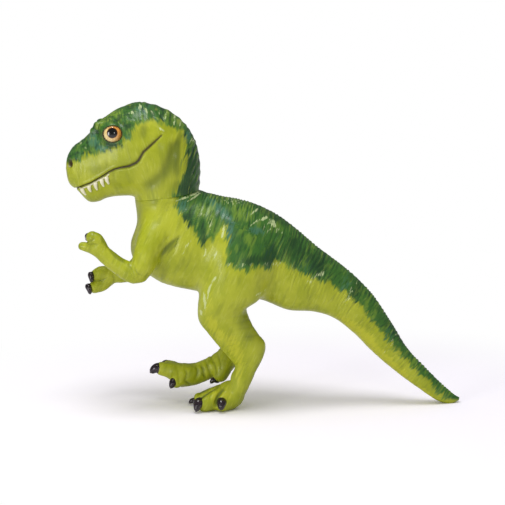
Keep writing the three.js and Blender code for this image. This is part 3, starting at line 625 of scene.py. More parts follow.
RIGHT_LEG_CUTS = [
    ([(-44.1, 18.7), (-42.9, 13.8), (-42.4, 10.2)], 0.6, 0.4),
    ([(-40.3, 18.4), (-38.8, 15.3), (-39.6, 11.7), (-36.8, 8.6)], 0.7, 0.6),
    ([(-34.8, 19.2), (-33.5, 15.9), (-34.3, 12)], 0.7, 0.65),
    ([(-32.2, 20.2), (-30.7, 15.9), (-29.7, 11.8)], 0.7, 0.65),
    ([(-29.7, 21.5), (-28.2, 17.4), (-26.7, 12.8)], 0.65, 0.6),
    ([(-27.2, 23.2), (-25.2, 19), (-24.4, 15)], 0.65, 0.6),
    ([(-24.2, 25.2), (-22.4, 21), (-21.7, 17.4)], 0.6, 0.5)]


def cast_leg(name, form, toes, cuts, seed):
    """A leg's finished skin: its forms remade as one and filleted into the hip. Broken rings of
    creases run round the shank. Painted shade lies down its rear, and darkens the creases together
    with washed-in paint."""
    field = leg_field(form, toes)
    skins = [rail_skin(form)] + [tube_skin(rows, TOE_RADIUS) for rows in toes]
    points, quads = cast_whole(skins, LEG_VOXEL)
    points = settle(slide(points, field), field, trunk_field, HIP_BLEND)
    free = ease(0.5, 6.0, trunk_field(points))
    along, up, out, *_ = section_place(form, points)
    reach = along * LEG_LENGTH + RING_WANDER * grain(points / 6.0, seed) + 0.5 * np.abs(out)
    ringed = ease(0.4, 0.55, along) * (1 - ease(0.85, 0.95, along))
    ringed *= ease(-0.1, 0.5, grain(points / 4.0, seed + 3))
    creases = rings(reach, RING_SPACING) * ringed
    folds = skin_folds(points, seed + 5)
    fold_depth = FOLD_DEPTH + FREE_FOLD_DEPTH * free * ease(0.2, 0.6, along)
    cut = creased(points, cuts)
    depth = RING_DEPTH * creases * free + fold_depth * folds - cut
    points = points + depth[:, None] * normals_of(points, quads, NO_TRIS)
    points[:, 2] = np.maximum(points[:, 2], 0)
    rear = ease(0.1, 0.9, -up) * ease(0.2, 0.5, along)
    # Painted shade down the rear, and in the creases with washed-in paint.
    leg = painted_limb(name, points, quads, relief=0.5 * folds + 0.6 * creases,
                       wash=0.35 * rear - 0.12 * creases + 1.1 * cut)
    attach(leg, "trunk")
    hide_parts(name)
    return leg


legs = [cast_leg("left_leg", LEFT_LEG, LEFT_TOES, LEFT_LEG_CUTS, 10),
        cast_leg("right_leg", RIGHT_LEG, RIGHT_TOES, RIGHT_LEG_CUTS, 20)]

# Arms
# Two solid PVC arms with a spigot in the shoulder, raised in front of the chest. Each ends in
# two fingers. The left one bends up at the elbow and the right one reaches forward.
ARM_RADIUS, ARM_VOXEL, SHOULDER_BLEND, FINGER_BLEND = 4.0, 0.4, 6.0, 1.6
ARM_LENGTH = 55  # mm from shoulder to fingers along the arm
ARM_STATIONS, FINGER_STATIONS = 70, 24
ARM_SIDES, FINGER_STEPS = 30, 22  # of the skins that are remade as one
ARM_FREE_FOLD_DEPTH = 0.08  # mm, added to the fine folds off the shoulder
NEARNESS = 4  # per mm, how sharply a point keeps to the nearest place on the arm's path
ARM_RING_SPACING, ARM_RING_DEPTH = 2.1, 0.05  # mm, of the creases round elbow and wrist
ELBOW, WRIST = 0.5, 0.86  # shares of the arm's length
ELBOW_TIP = np.array([-57.6, -22.0, 66.2])  # mm, the point of the left elbow
ELBOW_RISE, ELBOW_SIZES = 0.5, [1.6, 3.0, 1.6]  # mm, how far that point stands out, and how wide
LEFT_ARM = [
    [0.233, -0.46, 0.604, 1.55], [0.219, -0.63, 0.569, 1.7], [0.205, -0.77, 0.528, 1.5],
    [0.195, -0.85, 0.488, 1.4], [0.177, -0.87, 0.471, 1.3], [0.147, -0.87, 0.486, 1.08],
    [0.122, -0.85, 0.508, 1], [0.098, -0.83, 0.535, 0.95], [0.083, -0.81, 0.551, 0.86],
]
LEFT_FINGERS = [
    [[0.092, -0.84, 0.558, 0.82], [0.084, -0.85, 0.576, 0.8], [0.075, -0.85, 0.582, 0.78]],
    [[0.088, -0.82, 0.547, 0.8], [0.066, -0.79, 0.55, 0.66], [0.049, -0.77, 0.553, 0.5]],
]
RIGHT_ARM = [
    [0.226, 0.46, 0.597, 1.55], [0.21, 0.63, 0.563, 1.7], [0.196, 0.75, 0.499, 1.5],
    [0.179, 0.81, 0.451, 1.3], [0.158, 0.83, 0.427, 1.23], [0.13, 0.83, 0.417, 1.1],
    [0.107, 0.81, 0.417, 1.1], [0.091, 0.79, 0.411, 1],
]
RIGHT_FINGERS = [
    [[0.099, 0.79, 0.419, 0.9], [0.076, 0.75, 0.422, 0.85], [0.063, 0.73, 0.413, 0.75]],
    [[0.099, 0.79, 0.408, 0.85], [0.081, 0.75, 0.385, 0.8], [0.06, 0.71, 0.376, 0.76]],
]


def arm_field(arm, fingers):
    """Distance function of an arm with its two fingers."""
    def field(points):
        whole = tube_distance(arm, ARM_RADIUS, points, ARM_STATIONS)
        for rows in fingers:
            finger = tube_distance(rows, ARM_RADIUS, points, FINGER_STATIONS)
            whole = smooth_union(whole, finger, FINGER_BLEND)
        return whole
    return field


def path_share(rows, points):
    """Share along an arm's path of the place nearest to each point, eased between stations."""
    share, path, _ = limb_path(rows, ARM_RADIUS, ARM_STATIONS)
    apart = np.stack([np.linalg.norm(points - spot, axis=1) for spot in path], 1)
    weight = np.exp(-(apart - apart.min(1, keepdims=True)) * NEARNESS)
    return weight @ share / weight.sum(1)


LEFT_ARM_CUTS = [
    ([(-65.2, 75.6), (-63.4, 73.2), (-62.2, 70.6), (-61.6, 68.2)], 0.5, 0.3),
    ([(-62.6, 75.4), (-61.6, 72.4), (-60.2, 70.6), (-57.6, 69.6)], 0.5, 0.35),
    ([(-64.4, 72), (-63.1, 69.2), (-61.2, 67.2)], 0.45, 0.25),
    ([(-55.3, 71), (-57, 68.6), (-58.6, 66.4)], 0.5, 0.3),
    ([(-85.6, 84.6), (-82.8, 85.8), (-80.4, 87.3)], 0.45, 0.4),
    ([(-84.2, 83.9), (-81.7, 84.5), (-79, 83.9)], 0.4, 0.3)]
SHOULDER_CUTS = [
    ([(-50.6, 76), (-47.9, 81), (-44.5, 84.4), (-40.2, 87.6)], 1.1, 0.35),
    ([(-51, 81.5), (-47.8, 85.7), (-44.4, 88.6)], 0.9, 0.25),
    ([(-47.2, 77.4), (-44.5, 81.5), (-41, 84.6)], 0.9, 0.25)]
RIGHT_ARM_CUTS = [
    ([(-86.5, 60.4), (-84, 59.6), (-81, 60), (-78, 61.5)], 0.5, 0.45),
    ([(-76, 64.5), (-74.8, 61), (-75.4, 57.5)], 0.6, 0.3)]


def cast_arm(name, arm, fingers, cuts, seed):
    """An arm's finished skin: its forms remade as one and filleted into the shoulder, with
    creases round the elbow and wrist and between the fingers."""
    field = arm_field(arm, fingers)
    skins = [tube_skin(arm, ARM_RADIUS, ARM_STATIONS, ARM_SIDES)]
    skins += [tube_skin(rows, ARM_RADIUS, FINGER_STEPS) for rows in fingers]
    points, quads = cast_whole(skins, ARM_VOXEL)
    points = settle(slide(points, field), field, trunk_field, SHOULDER_BLEND)
    free = ease(0.5, 5.0, trunk_field(points))
    along = path_share(arm, points)
    elbow, wrist = bell(along, ELBOW, 0.13), bell(along, WRIST, 0.08)
    reach = along * ARM_LENGTH + grain(points / 5.0, seed)
    creases = rings(reach, ARM_RING_SPACING) * (elbow + 0.6 * wrist) * free
    folds = skin_folds(points, seed + 5)
    cut = creased(points, cuts + SHOULDER_CUTS)
    fold_depth = FOLD_DEPTH + ARM_FREE_FOLD_DEPTH * free
    depth = ARM_RING_DEPTH * creases + fold_depth * folds - cut
    from_tip = np.sum(((points - ELBOW_TIP) / ELBOW_SIZES) ** 2, 1)
    depth += ELBOW_RISE * np.exp(-from_tip)
    points = points + depth[:, None] * normals_of(points, quads, NO_TRIS)
    # The creases are darkened by painted shade and washed-in paint.
    skin = painted_limb(name, points, quads, relief=0.5 * folds, wash=1.5 * cut - 0.1 * creases)
    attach(skin, "trunk")
    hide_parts(name)
    return skin


arms = [cast_arm("left_arm", LEFT_ARM, LEFT_FINGERS, LEFT_ARM_CUTS, 30),
        cast_arm("right_arm", RIGHT_ARM, RIGHT_FINGERS, RIGHT_ARM_CUTS, 40)]

# Body skin
# The cast skin itself, made last because it swells into the limbs. Fold lines lean back on the
# torso and stand square to the tail; they are tallest on the back, where they make a saw edge.
FLOW = np.array([
    [-60, 84, 0.45], [-40, 84, 0.4], [-25, 80, 0.35], [-5, 76, 0.3],
    [15, 68, 0.35], [30, 60.5, 0.5], [42, 52, 0.75], [54, 37, 0.9],
    [66, 22.5, 1], [78, 11.5, 0.9], [92, 3, 0.8]])  # x, middle z and lean of the folds
BODY_STATIONS, BODY_SIDES = 690, 140
FINE_FOLD, WIDE_FOLD = 1.75, 4.3  # mm from one fold to the next
SIDE_DEPTH, BACK_DEPTH, TAIL_DEPTH = 0.05, 0.17, 0.06  # mm, of the fine folds: all over, and
# what is added on the back and towards the tail
WIDE_DEPTH, STREAK_DEPTH = 0.15, 0.09  # mm, of the wide folds and of the streaks along them
RIM_STEP = 0.04  # share of the radius that the neck opening's edge is turned in by
LIP_AT, LIP_WIDTH = 1.5, 0.9  # mm under the seam, of the rim's raised lip
DIP_AT, DIP_WIDTH, DIP_DEPTH = 4.6, 2.4, 0.7  # mm, of the hollow under that lip
CUTS_TOP = 92  # mm of height, over which no crease is cut


def fold_place(points):
    """Place in mm along the body of the fold line through a point: x less the lean's share of the
    height over the middle line, then the length of that line up to there."""
    x, middle, lean = FLOW.T
    fine = np.linspace(x[0], x[-1], 200)
    line = np.interp(fine, x, middle)
    length = np.concatenate([[0], np.cumsum(np.hypot(np.diff(fine), np.diff(line)))])
    slope = np.gradient(np.convolve(np.pad(line, 6, "edge"), np.ones(13) / 13, "valid"), fine)
    here_lean = np.interp(points[:, 0], x, lean)
    height = points[:, 2] - np.interp(points[:, 0], fine, line)
    steep = 1 - here_lean * np.interp(points[:, 0], fine, slope)
    start = points[:, 0] - here_lean * height / steep
    return np.interp(start, fine, length), height


def trunk_folds(points, up):
    """Height in mm of the body's folds, the streaks that run along them, and where a point lies
    across and down them. Both folds wander by a noise. They are patchy, and fade towards the
    belly. The fine ones are tallest on the back, the wide ones on the flanks."""
    along, height = fold_place(points)
    side = np.sign(points[:, 1] - SHIFT[1])
    spot = np.stack([along / 9, height / 16, side * 3.3], 1)
    warp = 1.5 * grain(spot, 51) + 0.5 * grain(spot * 3, 52)
    fine = np.sin(2 * np.pi * (along + warp) / FINE_FOLD)
    wide = np.sin(2 * np.pi * (along + 2.2 * warp) / WIDE_FOLD)
    patch = grain(np.stack([along / 4, height / 11, side * 5.7], 1), 53)
    patchy = ease(-0.35, 0.45, patch)
    on_back, low = ease(0.72, 1.0, up), ease(-0.2, -0.85, up)
    rear = ease(25.0, 60.0, along)
    height_mm = (SIDE_DEPTH + BACK_DEPTH * on_back * (1 - 0.45 * rear) + TAIL_DEPTH * rear) * fine
    height_mm *= 0.3 + 0.7 * patchy + on_back * 0.3 * (1 - rear)
    height_mm *= 1 - 0.85 * low
    height_mm += (WIDE_DEPTH - 0.08 * rear) * wide * patchy * (1 - on_back) * (1 - 0.75 * low)
    streak = grain(np.stack([along / 1.3, height / 8, side * 2.1], 1), 54)
    height_mm += STREAK_DEPTH * streak * (1 - 0.5 * low) * (1 - 0.5 * rear)
    return height_mm, 0.6 * streak + 0.4 * fine, along, height


stations = np.linspace(0, 1, BODY_STATIONS)
turns = ring_angles(BODY_SIDES)
grid = rail_surface(TRUNK, stations, turns)
rim = grid[0] + (NECK_PLACE - grid[0]) * RIM_STEP
grid = np.concatenate([rim[None], grid])
body_points, body_quads, body_tris = grid_skin(grid, grid[0].mean(0), grid[-1].mean(0))
body_up = np.concatenate([np.tile(np.sin(turns), BODY_STATIONS + 1), [0, 0]])
body_along = np.concatenate([[0], stations])
body_along = np.concatenate([np.repeat(body_along, BODY_SIDES), [0, 1]])
limb_fields = [lambda spots, form=form: rail_distance(form, spots)
               for form in (LEFT_LEG, RIGHT_LEG)]
limb_fields += [lambda spots, rows=rows: tube_distance(rows, ARM_RADIUS, spots, ARM_STATIONS)
                for rows in (LEFT_ARM, RIGHT_ARM)]
for limb_field, fillet in zip(limb_fields, [HIP_BLEND] * 2 + [SHOULDER_BLEND] * 2):
    body_points = settle(body_points, trunk_field, limb_field, fillet)
limb_near = np.minimum.reduce([limb_field(body_points) for limb_field in limb_fields])
free = ease(0.0, 6.0, limb_near)
folds, streak, fold_along, fold_height = trunk_folds(body_points, body_up)
from_seam = -(body_points - NECK_PLACE) @ NECK_AXIS
at_nape = ease(-0.2, 0.9, (body_points - NECK_PLACE) @ NECK_ACROSS / NECK_RADIUS)
lip = bell(from_seam, LIP_AT, LIP_WIDTH) * (0.05 + 0.35 * at_nape)
lip -= DIP_DEPTH * bell(from_seam, DIP_AT, DIP_WIDTH) * at_nape
lip *= ease(0.0, 0.5, from_seam) * (body_along < 0.1)
settled = ease(1.0, 8.0, from_seam) * (1 - ease(0.985, 1.0, body_along))
common = 0.07 * skin_folds(body_points, 15)
BODY_CUTS = [([(-11.0, 57.0), (-6.7, 58.0), (-1.0, 59.6)], 0.8, 0.3)]
cut = creased(body_points, BODY_CUTS + SHOULDER_CUTS) * (body_points[:, 2] < CUTS_TOP)
depth = lip + settled * (folds * free + common - cut)
body_normals = normals_of(body_points, body_quads, body_tris)
body_points = body_points + depth[:, None] * body_normals
body_points[:, 2] = np.maximum(body_points[:, 2], 0)
# Painted shade where the limbs join the body, and in the cut creases with washed-in paint.
at_limb = 1 - ease(0.0, 2.5, np.abs(limb_near - 0.5))
body = piece_mesh("body_skin", body_points, body_quads, body_tris,
                  dark=outline_distance(SADDLE, body_points),
                  relief=folds * free * 3.0 + streak * 0.4,
                  wash=np.clip(0.1 * at_limb + 1.3 * cut, 0, 1),
                  over=fold_along, down=fold_height, **brushwork(body_points, TRUNK_PAINT))
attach(body, "trunk")
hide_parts("body_shell")


def linear(code):
    """Linear colour with alpha from an sRGB hex code."""
    parts = [int(code[start:start + 2], 16) / 255 for start in (1, 3, 5)]
    return [*[p / 12.92 if p <= 0.04045 else ((p + 0.055) / 1.055) ** 2.4 for p in parts], 1]


def add(tree, kind, inputs=None, **settings):
    """Adds a node with its settings, and fills its inputs with values or with links."""
    made = tree.nodes.new("ShaderNode" + kind)
    for name, value in settings.items():
        setattr(made, name, value)
    for key, value in (inputs or {}).items():
        if isinstance(value, bpy.types.NodeSocket):
            tree.links.new(value, made.inputs[key])
        else:
            made.inputs[key].default_value = value
    return made


def blend(tree, share, first, second):
    """Colour mixed from the first to the second by a share."""
    first, second = (linear(c) if isinstance(c, str) else c for c in (first, second))
    return add(tree, "Mix", {0: share, 6: first, 7: second}, data_type="RGBA").outputs[2]


def ranged(tree, value, low, high, bottom=0.0, top=1.0):
    """A value carried from one range to another, eased and held at the ends."""
    return add(tree, "MapRange", {"Value": value, "From Min": low, "From Max": high,
                                  "To Min": bottom, "To Max": top},
               interpolation_type="SMOOTHSTEP").outputs[0]


def combined(tree, how, first, second):
    """Two values put together by one operation, such as ADD or MULTIPLY."""
    return add(tree, "Math", {0: first, 1: second}, operation=how).outputs[0]


def new_material(name):
    """A named material with an empty node tree."""
    made = bpy.data.materials.new(name)
    made.use_nodes = True
    made.node_tree.nodes.clear()
    return made, made.node_tree


def coated(tree, colour, roughness, more):
    """Ends a tree with a plastic surface of a colour and roughness, and more of its inputs."""
    surface = add(tree, "BsdfPrincipled", {"Base Color": colour, "Roughness": roughness,
                                           "IOR": 1.5, **more})
    add(tree, "OutputMaterial", {"Surface": surface.outputs[0]})


# Soft PVC, moulded and then painted: a lime base coat with olive in the creases, partly washed-in
# paint and partly painted shade, dark green laid over the back and dry-brushed along the ridges,
# and light flecks of dry-brush and painted glints, under a thin gloss varnish.
LIME, LIME_LIGHT, LIME_EDGE = "#A3AD16", "#B5BC2A", "#CBD15A"
LIME_WARM, OLIVE = "#CCCC28", "#6F7C18"
GREEN, GREEN_FRESH, GREEN_DEEP = "#3E6F27", "#7F9F2E", "#1C3F22"
TEAL, BRUSHED, DRYBRUSH_GLINT, OUTLINE = "#457A62", "#A3B648", "#DDE8AC", "#3A2B10"


def painted_vinyl():
    """The painted skin. Its attributes say in mm how deep a place lies in the dark paint and
    where it is across and down the brush strokes, and from 0 to 1 how far each layer covers."""
    made, tree = new_material("painted_soft_vinyl")
    spot = add(tree, "TexCoord").outputs["Object"]
    dark, relief, wash, line, over, down, drybrush_and_glint, teal, fresh_and_lit, deep, shade = (
        add(tree, "Attribute", attribute_name=name).outputs["Fac"]
        for name in ("dark", "relief", "wash", "line", "over", "down", "drybrush_and_glint", "teal", "fresh_and_lit",
                     "deep", "shade"))
    depth = add(tree, "SeparateXYZ", {0: spot}).outputs[1]
    thick = combined(tree, "MULTIPLY", depth, 1 / MM)

    def cloud(size_mm, stretch=(1, 1, 1), detail=3.0):
        """Noise whose features are about a size in mm, stretched along the axes."""
        scaled = add(tree, "Mapping", {"Vector": spot,
                                       "Scale": [1 / share for share in stretch]}).outputs[0]
        return add(tree, "TexNoise", {"Vector": scaled, "Scale": 1000 / size_mm,
                                      "Detail": detail, "Roughness": 0.6}).outputs[0]

    def bristles(width_mm, length_mm, detail=2.0):
        """Noise drawn out along the brush strokes, with a width and a length in mm."""
        sizes = (1 / width_mm, 1 / length_mm, 1 / length_mm)
        stroked = add(tree, "CombineXYZ", {0: over, 1: down, 2: thick}).outputs[0]
        scaled = add(tree, "Mapping", {"Vector": stroked, "Scale": sizes}).outputs[0]
        return add(tree, "TexNoise", {"Vector": scaled, "Scale": 1.0, "Detail": detail,
                                      "Roughness": 0.55}).outputs[0]

    fine, broad = bristles(1.0, 6.0), bristles(3.2, 14.0)
    patches = cloud(11.0, (1, 1, 1.4))

    def laid(layer, noise, most=1.0):
        """A layer's cover with its edge broken up by a noise."""
        ragged = combined(tree, "ADD", layer, ranged(tree, noise, 0.25, 0.75, -0.35, 0.35))
        return ranged(tree, ragged, 0.3, 0.95, 0.0, most)

    def where(value, low, high, most=1.0):
        """A cover that grows from nothing to its most as a value goes from low to high."""
        return ranged(tree, value, low, high, 0, most)

    def painted(base, *coats):
        """A colour under coats of paint, each with its cover and its colour."""
        for cover, coat in coats:
            base = blend(tree, cover, base, coat)
        return base

    # Painted shade: olive in the hollows of the relief, along the creases and limb roots, partly
    # washed-in paint, and under the shade ovals.
    hollows = combined(tree, "ADD", where(relief, -0.25, -1.1, 0.55), wash)
    hollows = combined(tree, "ADD", hollows, where(shade, 0.1, 0.9, 0.7))
    # The lime coat: lighter on the ridges, as dry-brush and painted highlight, warmer yellow-green
    # in patches, some of them painted light on the knee, shin and foot, and olive under the painted
    # shade.
    lime = painted(LIME, (where(patches, 0.35, 0.65), LIME_LIGHT),
                   (where(fine, 0.54, 0.7, 0.3), LIME_EDGE), (where(broad, 0.5, 0.32, 0.28), OLIVE),
                   (where(relief, 0.35, 1.2, 0.4), LIME_EDGE), (laid(fresh_and_lit, fine, 0.6), LIME_WARM),
                   (where(hollows, 0.0, 1.2), OLIVE))
    brushed = combined(tree, "MULTIPLY", where(relief, 0.2, 1.1, 0.6), where(fine, 0.4, 0.6))
    # The green coat, darker in the hollows of the relief as painted shade, and dry-brushed on the
    # ridges.
    green = painted(GREEN, (where(broad, 0.5, 0.68, 0.5), GREEN_FRESH),
                    (laid(teal, fine, 0.75), TEAL), (laid(fresh_and_lit, fine, 0.6), GREEN_FRESH),
                    (laid(deep, fine, 0.75), GREEN_DEEP),
                    (where(relief, 0.0, -0.9, 0.75), GREEN_DEEP),
                    (where(fine, 0.46, 0.34, 0.5), GREEN_DEEP), (brushed, BRUSHED))
    feather = combined(tree, "ADD", ranged(tree, broad, 0.3, 0.7, -1.3, 1.3),
                       ranged(tree, fine, 0.3, 0.7, -1.0, 1.0))
    edge = combined(tree, "ADD", dark, feather)
    colour = blend(tree, ranged(tree, edge, -1.3, 1.5), lime, green)
    # Light flecks of dry-brush and painted glints and highlights, drawn out along the strokes.
    flecked = combined(tree, "ADD", bristles(0.75, 3.5), where(drybrush_and_glint, 0.0, 1.0, 0.3))
    glint_fleck = combined(tree, "MULTIPLY", where(drybrush_and_glint, 0.1, 0.4), where(flecked, 0.64, 0.82))
    colour = painted(colour, (combined(tree, "MULTIPLY", glint_fleck, 0.62), DRYBRUSH_GLINT), (line, OUTLINE))
    rough = ranged(tree, cloud(4.0), 0.3, 0.7, 0.36, 0.48)
    bump = add(tree, "Bump", {"Height": fine, "Strength": 0.25, "Distance": 0.0004}).outputs[0]
    bump = add(tree, "Bump", {"Height": cloud(0.9, (1, 1, 1.8)), "Strength": 0.1,
                              "Distance": 0.0004, "Normal": bump}).outputs[0]
    coated(tree, colour, rough, {"Specular IOR Level": 0.36, "Coat Weight": 0.16,
                                 "Coat Roughness": 0.15, "Normal": bump})
    return made


vinyl = painted_vinyl()
for piece in (*legs, *arms, body):
    piece.data.materials.append(vinyl)

# Head
# Skull, jaws and throat are one hollow casting that turns in the body's neck opening. The mouth
# is only a sculpted line. Lids, brows, nostrils and the folds of the cap stand in low relief.
HEAD_HALF, HEAD_SQUARE = 17.2, 2.25
HEAD = rail_form([
    [0.002, 0.794, 0.002, 0.781, 0, 0.15],
    [0.007, 0.829, 0.01, 0.738, 0, 0.45],
    [0.021, 0.858, 0.032, 0.713, 0, 0.58],
    [0.044, 0.88, 0.059, 0.679, 0, 0.65],
    [0.068, 0.911, 0.082, 0.68, 0, 0.71],
    [0.09, 0.942, 0.102, 0.691, 0, 0.78],
    [0.112, 0.963, 0.12, 0.696, 0, 0.84],
    [0.137, 0.981, 0.137, 0.698, 0, 0.91],
    [0.182, 0.999, 0.157, 0.699, 0, 0.97],
    [0.227, 0.989, 0.165, 0.698, 0, 1],
    [0.269, 0.963, 0.168, 0.697, 0, 1],
    [0.301, 0.926, 0.17, 0.696, 0, 0.99],
    [0.324, 0.875, 0.171, 0.695, 0, 0.96],
    [0.335, 0.813, 0.172, 0.694, 0, 0.93],
    [0.336, 0.761, 0.172, 0.692, 0, 0.91],
], HEAD_HALF, HEAD_SQUARE)
HEAD["upper"] = np.vstack([HEAD["upper"], neck_point(NECK_RADIUS, NECK_HAIRLINE)])
HEAD["lower"] = np.vstack([HEAD["lower"], neck_point(-NECK_RADIUS, NECK_HAIRLINE)])
HEAD["half"] = np.vstack([HEAD["half"], [NECK_RADIUS]])
HEAD_STATIONS, HEAD_SIDES = 300, 320
EYE_SPOT = (-72.69, 135.15)  # x and z in mm of the eye ball's centre
EYE_RADIUS, EYE_STAND = 6.0, 1.8  # mm, and how far the ball stands out of the skin
LIDS, LID_SIZES = (-72.6, 135.35), (4.35, 3.75)  # middle and half-sizes of the opening of the lids
LID_THICK, SOCKET_DEEP = 0.45, 0.8  # mm, over the ball round the opening, and under it inside
MASK = np.array([
    (-95.7, 121.8), (-91, 121.3), (-87.3, 122), (-85.5, 124.7), (-81.5, 126.1), (-76.6, 126.9),
    (-72.8, 127.4), (-68.8, 129.5), (-66.4, 133), (-64, 133.8), (-62.9, 136.2), (-61.1, 139.6),
    (-57.5, 141.2), (-51.4, 141.4), (-46.6, 140), (-41.9, 137), (-39.4, 133.2), (-38.5, 129.4),
    (-38.1, 125.5), (-38.6, 119.7), (-40.1, 114.8), (-42, 110), (-43.5, 106.6), (-44, 103),
    (-15, 100), (-15, 175), (-115, 175), (-115, 122)])  # the dark cap, x and z
MOUTH = [(-95.0, 105.5), (-93.0, 106.8), (-90.3, 108.7), (-86.5, 110.5), (-83.4, 111.7),
         (-80.4, 113.5), (-77.4, 115.3), (-74.6, 117.2), (-71.9, 118.6), (-68.6, 119.5),
         (-64.9, 120.2), (-61.5, 121.9), (-60.2, 123.1), (-57.9, 127.1), (-53.8, 130.8),
         (-49.4, 134.8)]
JAW_EDGE = [(-62.8, 108.2), (-57.7, 109.7), (-52.2, 113.2), (-48.4, 116.8), (-46.0, 120.8),
            (-44.5, 125.1), (-43.4, 129)]
NOSTRIL = (-93.6, 120.8)
BROWS = ((-82.2, 7.2, 135.9, 2.6), (-79.4, 7.4, 138.6, 2.6))  # x, way out, z, height of a bump
SNOUT_LUMPS, CAP_FOLDS, CAP_LUMPS, LIP_FOLDS = 0.13, 0.2, 0.06, 0.06  # mm of relief
MOUTH_DEPTH, JAW_DEPTH, NOSTRIL_DEPTH = 0.9, 0.7, 1.2  # mm
HEAD_PAINT = {
    # Light flecks on the cap, snout and cheek: dry-brush and painted glints.
    "drybrush_and_glint": [
        (-88.5, 130.4, 0.8, 0.8, 0, 0.9), (-86.6, 127.7, 2, 2, 0, 0.35),
        (-64, 145.2, 0.7, 2.2, 80, 1), (-60, 147.7, 1, 1.6, -20, 1),
        (-56.7, 145, 0.6, 2.4, -15, 1), (-54.2, 145.4, 0.7, 2.4, -25, 0.9),
        (-47.6, 144, 0.7, 2.2, 5, 1), (-43.6, 141.6, 0.6, 2.6, 0, 0.9),
        (-50.6, 144.4, 0.5, 2, -10, 0.8), (-40.8, 139.4, 0.5, 2.6, 15, 0.8),
        (-49.4, 137.5, 0.6, 2.3, 119, 1), (-36, 130.5, 2.6, 5, 25, 0.45),
        (-35, 118, 2.2, 8, 10, 0.3), (-88, 118, 1.6, 4, 5, 0.25),
        (-68.5, 133, 1.4, 3, 20, 0.3), (-56, 139.5, 4, 1.6, 0, 0.35)],
    "teal": [
        (-82, 132, 3.4, 4.8, -35, 0.9), (-76.5, 128.6, 4, 1.8, 0, 0.8),
        (-88, 124.5, 3.5, 2.5, 0, 0.5), (-59, 146.5, 2.5, 5, 75, 0.7),
        (-64.7, 134.2, 2.5, 3, 0, 0.5), (-37, 134, 1.8, 4.5, 25, 0.8)],
    "fresh_and_lit": [
        (-80.1, 133.9, 1.6, 2, 0, 0.4), (-87, 128.2, 2.4, 1.8, 0, 0.35),
        (-76.6, 141.6, 1.4, 6.4, 55, 1.3), (-79.9, 138.4, 1.2, 2.4, 35, 1),
        (-68.9, 144, 3.6, 2.4, 0, 0.7),
        (-64.6, 138, 3.6, 3, 0, 0.5), (-57, 140.4, 4.5, 2, 0, 0.8),
        (-40.5, 138.6, 1.8, 3.4, 10, 0.8), (-48, 141.5, 5, 1.6, 90, 0.4)],
    "deep": [
        (-81.9, 138.4, 1.5, 2.4, 0, 0.9), (-64.5, 147.3, 1.3, 2.6, 80, 0.9),
        (-78, 135.5, 0.9, 3.2, -10, 0.5), (-67.2, 140, 1.6, 1.8, 0, 0.8),
        (-73, 130.4, 1.2, 4.8, 95, 0.85), (-60.5, 137.5, 1, 2.6, 10, 0.7),
        (-43.8, 139, 2.4, 3.4, 0, 0.5), (-36, 121, 4.4, 11, 5, 0.95),
        (-38, 108.5, 4.5, 4.5, 0, 1), (-40, 133, 1.3, 3.4, 15, 0.7),
        (-82, 128.6, 4, 1.6, -25, 0.5), (-71.5, 129, 1.7, 4.2, 80, 0.85),
        (-73.5, 127.2, 4.6, 1.4, -8, 0.6),
        (-52.5, 146.6, 0.7, 2.6, -15, 0.9), (-49, 145, 0.6, 2.6, -5, 0.9),
        (-45.6, 143.6, 0.6, 2.8, 5, 0.9), (-58.6, 146.8, 0.6, 2, -25, 0.8),
        (-90.5, 125, 2.5, 2, 0, 0.5)],
    "shade": [
        (-63.2, 135, 4, 3.4, 0, 0.5), (-58.6, 136.2, 5, 1.8, 80, 0.4),
        (-57, 139, 6, 2.2, 90, 0.6), (-46, 139, 3, 5, 90, 0.55),
        (-41.2, 133.5, 1.6, 5, 20, 0.6), (-42, 124, 1.8, 9, 5, 0.65),
        (-40.6, 117, 1.9, 5, 20, 0.4), (-42.4, 110.6, 3.4, 2.8, 0, 0.5),
        (-46.8, 116.8, 3.4, 4.6, 20, 0.3),
        (-78.5, 118.6, 9.5, 3.4, -15, 0.6), (-63, 122.6, 7, 4.5, -15, 0.48),
        (-46.5, 107, 3, 3, 0, 0.3)],
}


def skin_reach(form, x, z):
    """How far out of the middle plane a form's skin lies at a place in the side view."""
    _, up, _, _, width, _ = section_place(form, np.array([[x, 0.0, z]]))
    square = form["square"]
    return float(width[0] * (1 - min(abs(up[0]), 1) ** square) ** (1 / square))


head_points, head_quads, head_tris = rail_skin(HEAD, HEAD_STATIONS, HEAD_SIDES)
head_up = np.concatenate([np.tile(np.sin(ring_angles(HEAD_SIDES)), HEAD_STATIONS), [0, 0]])
rise = (head_points - NECK_PLACE) @ NECK_AXIS
loose = ease(0.3, 3.5, rise)
loose[-1] = 0
mask = outline_distance(MASK, head_points)
flank = ease(0.98, 0.6, np.abs(head_up))
head_x, head_z = head_points[:, 0], head_points[:, 2]
fold_lean = np.interp(head_x, (-80, -58, -46, -36), (0.1, 0.35, 0.0, -0.5))
head_over = head_x + fold_lean * (head_z - 130)

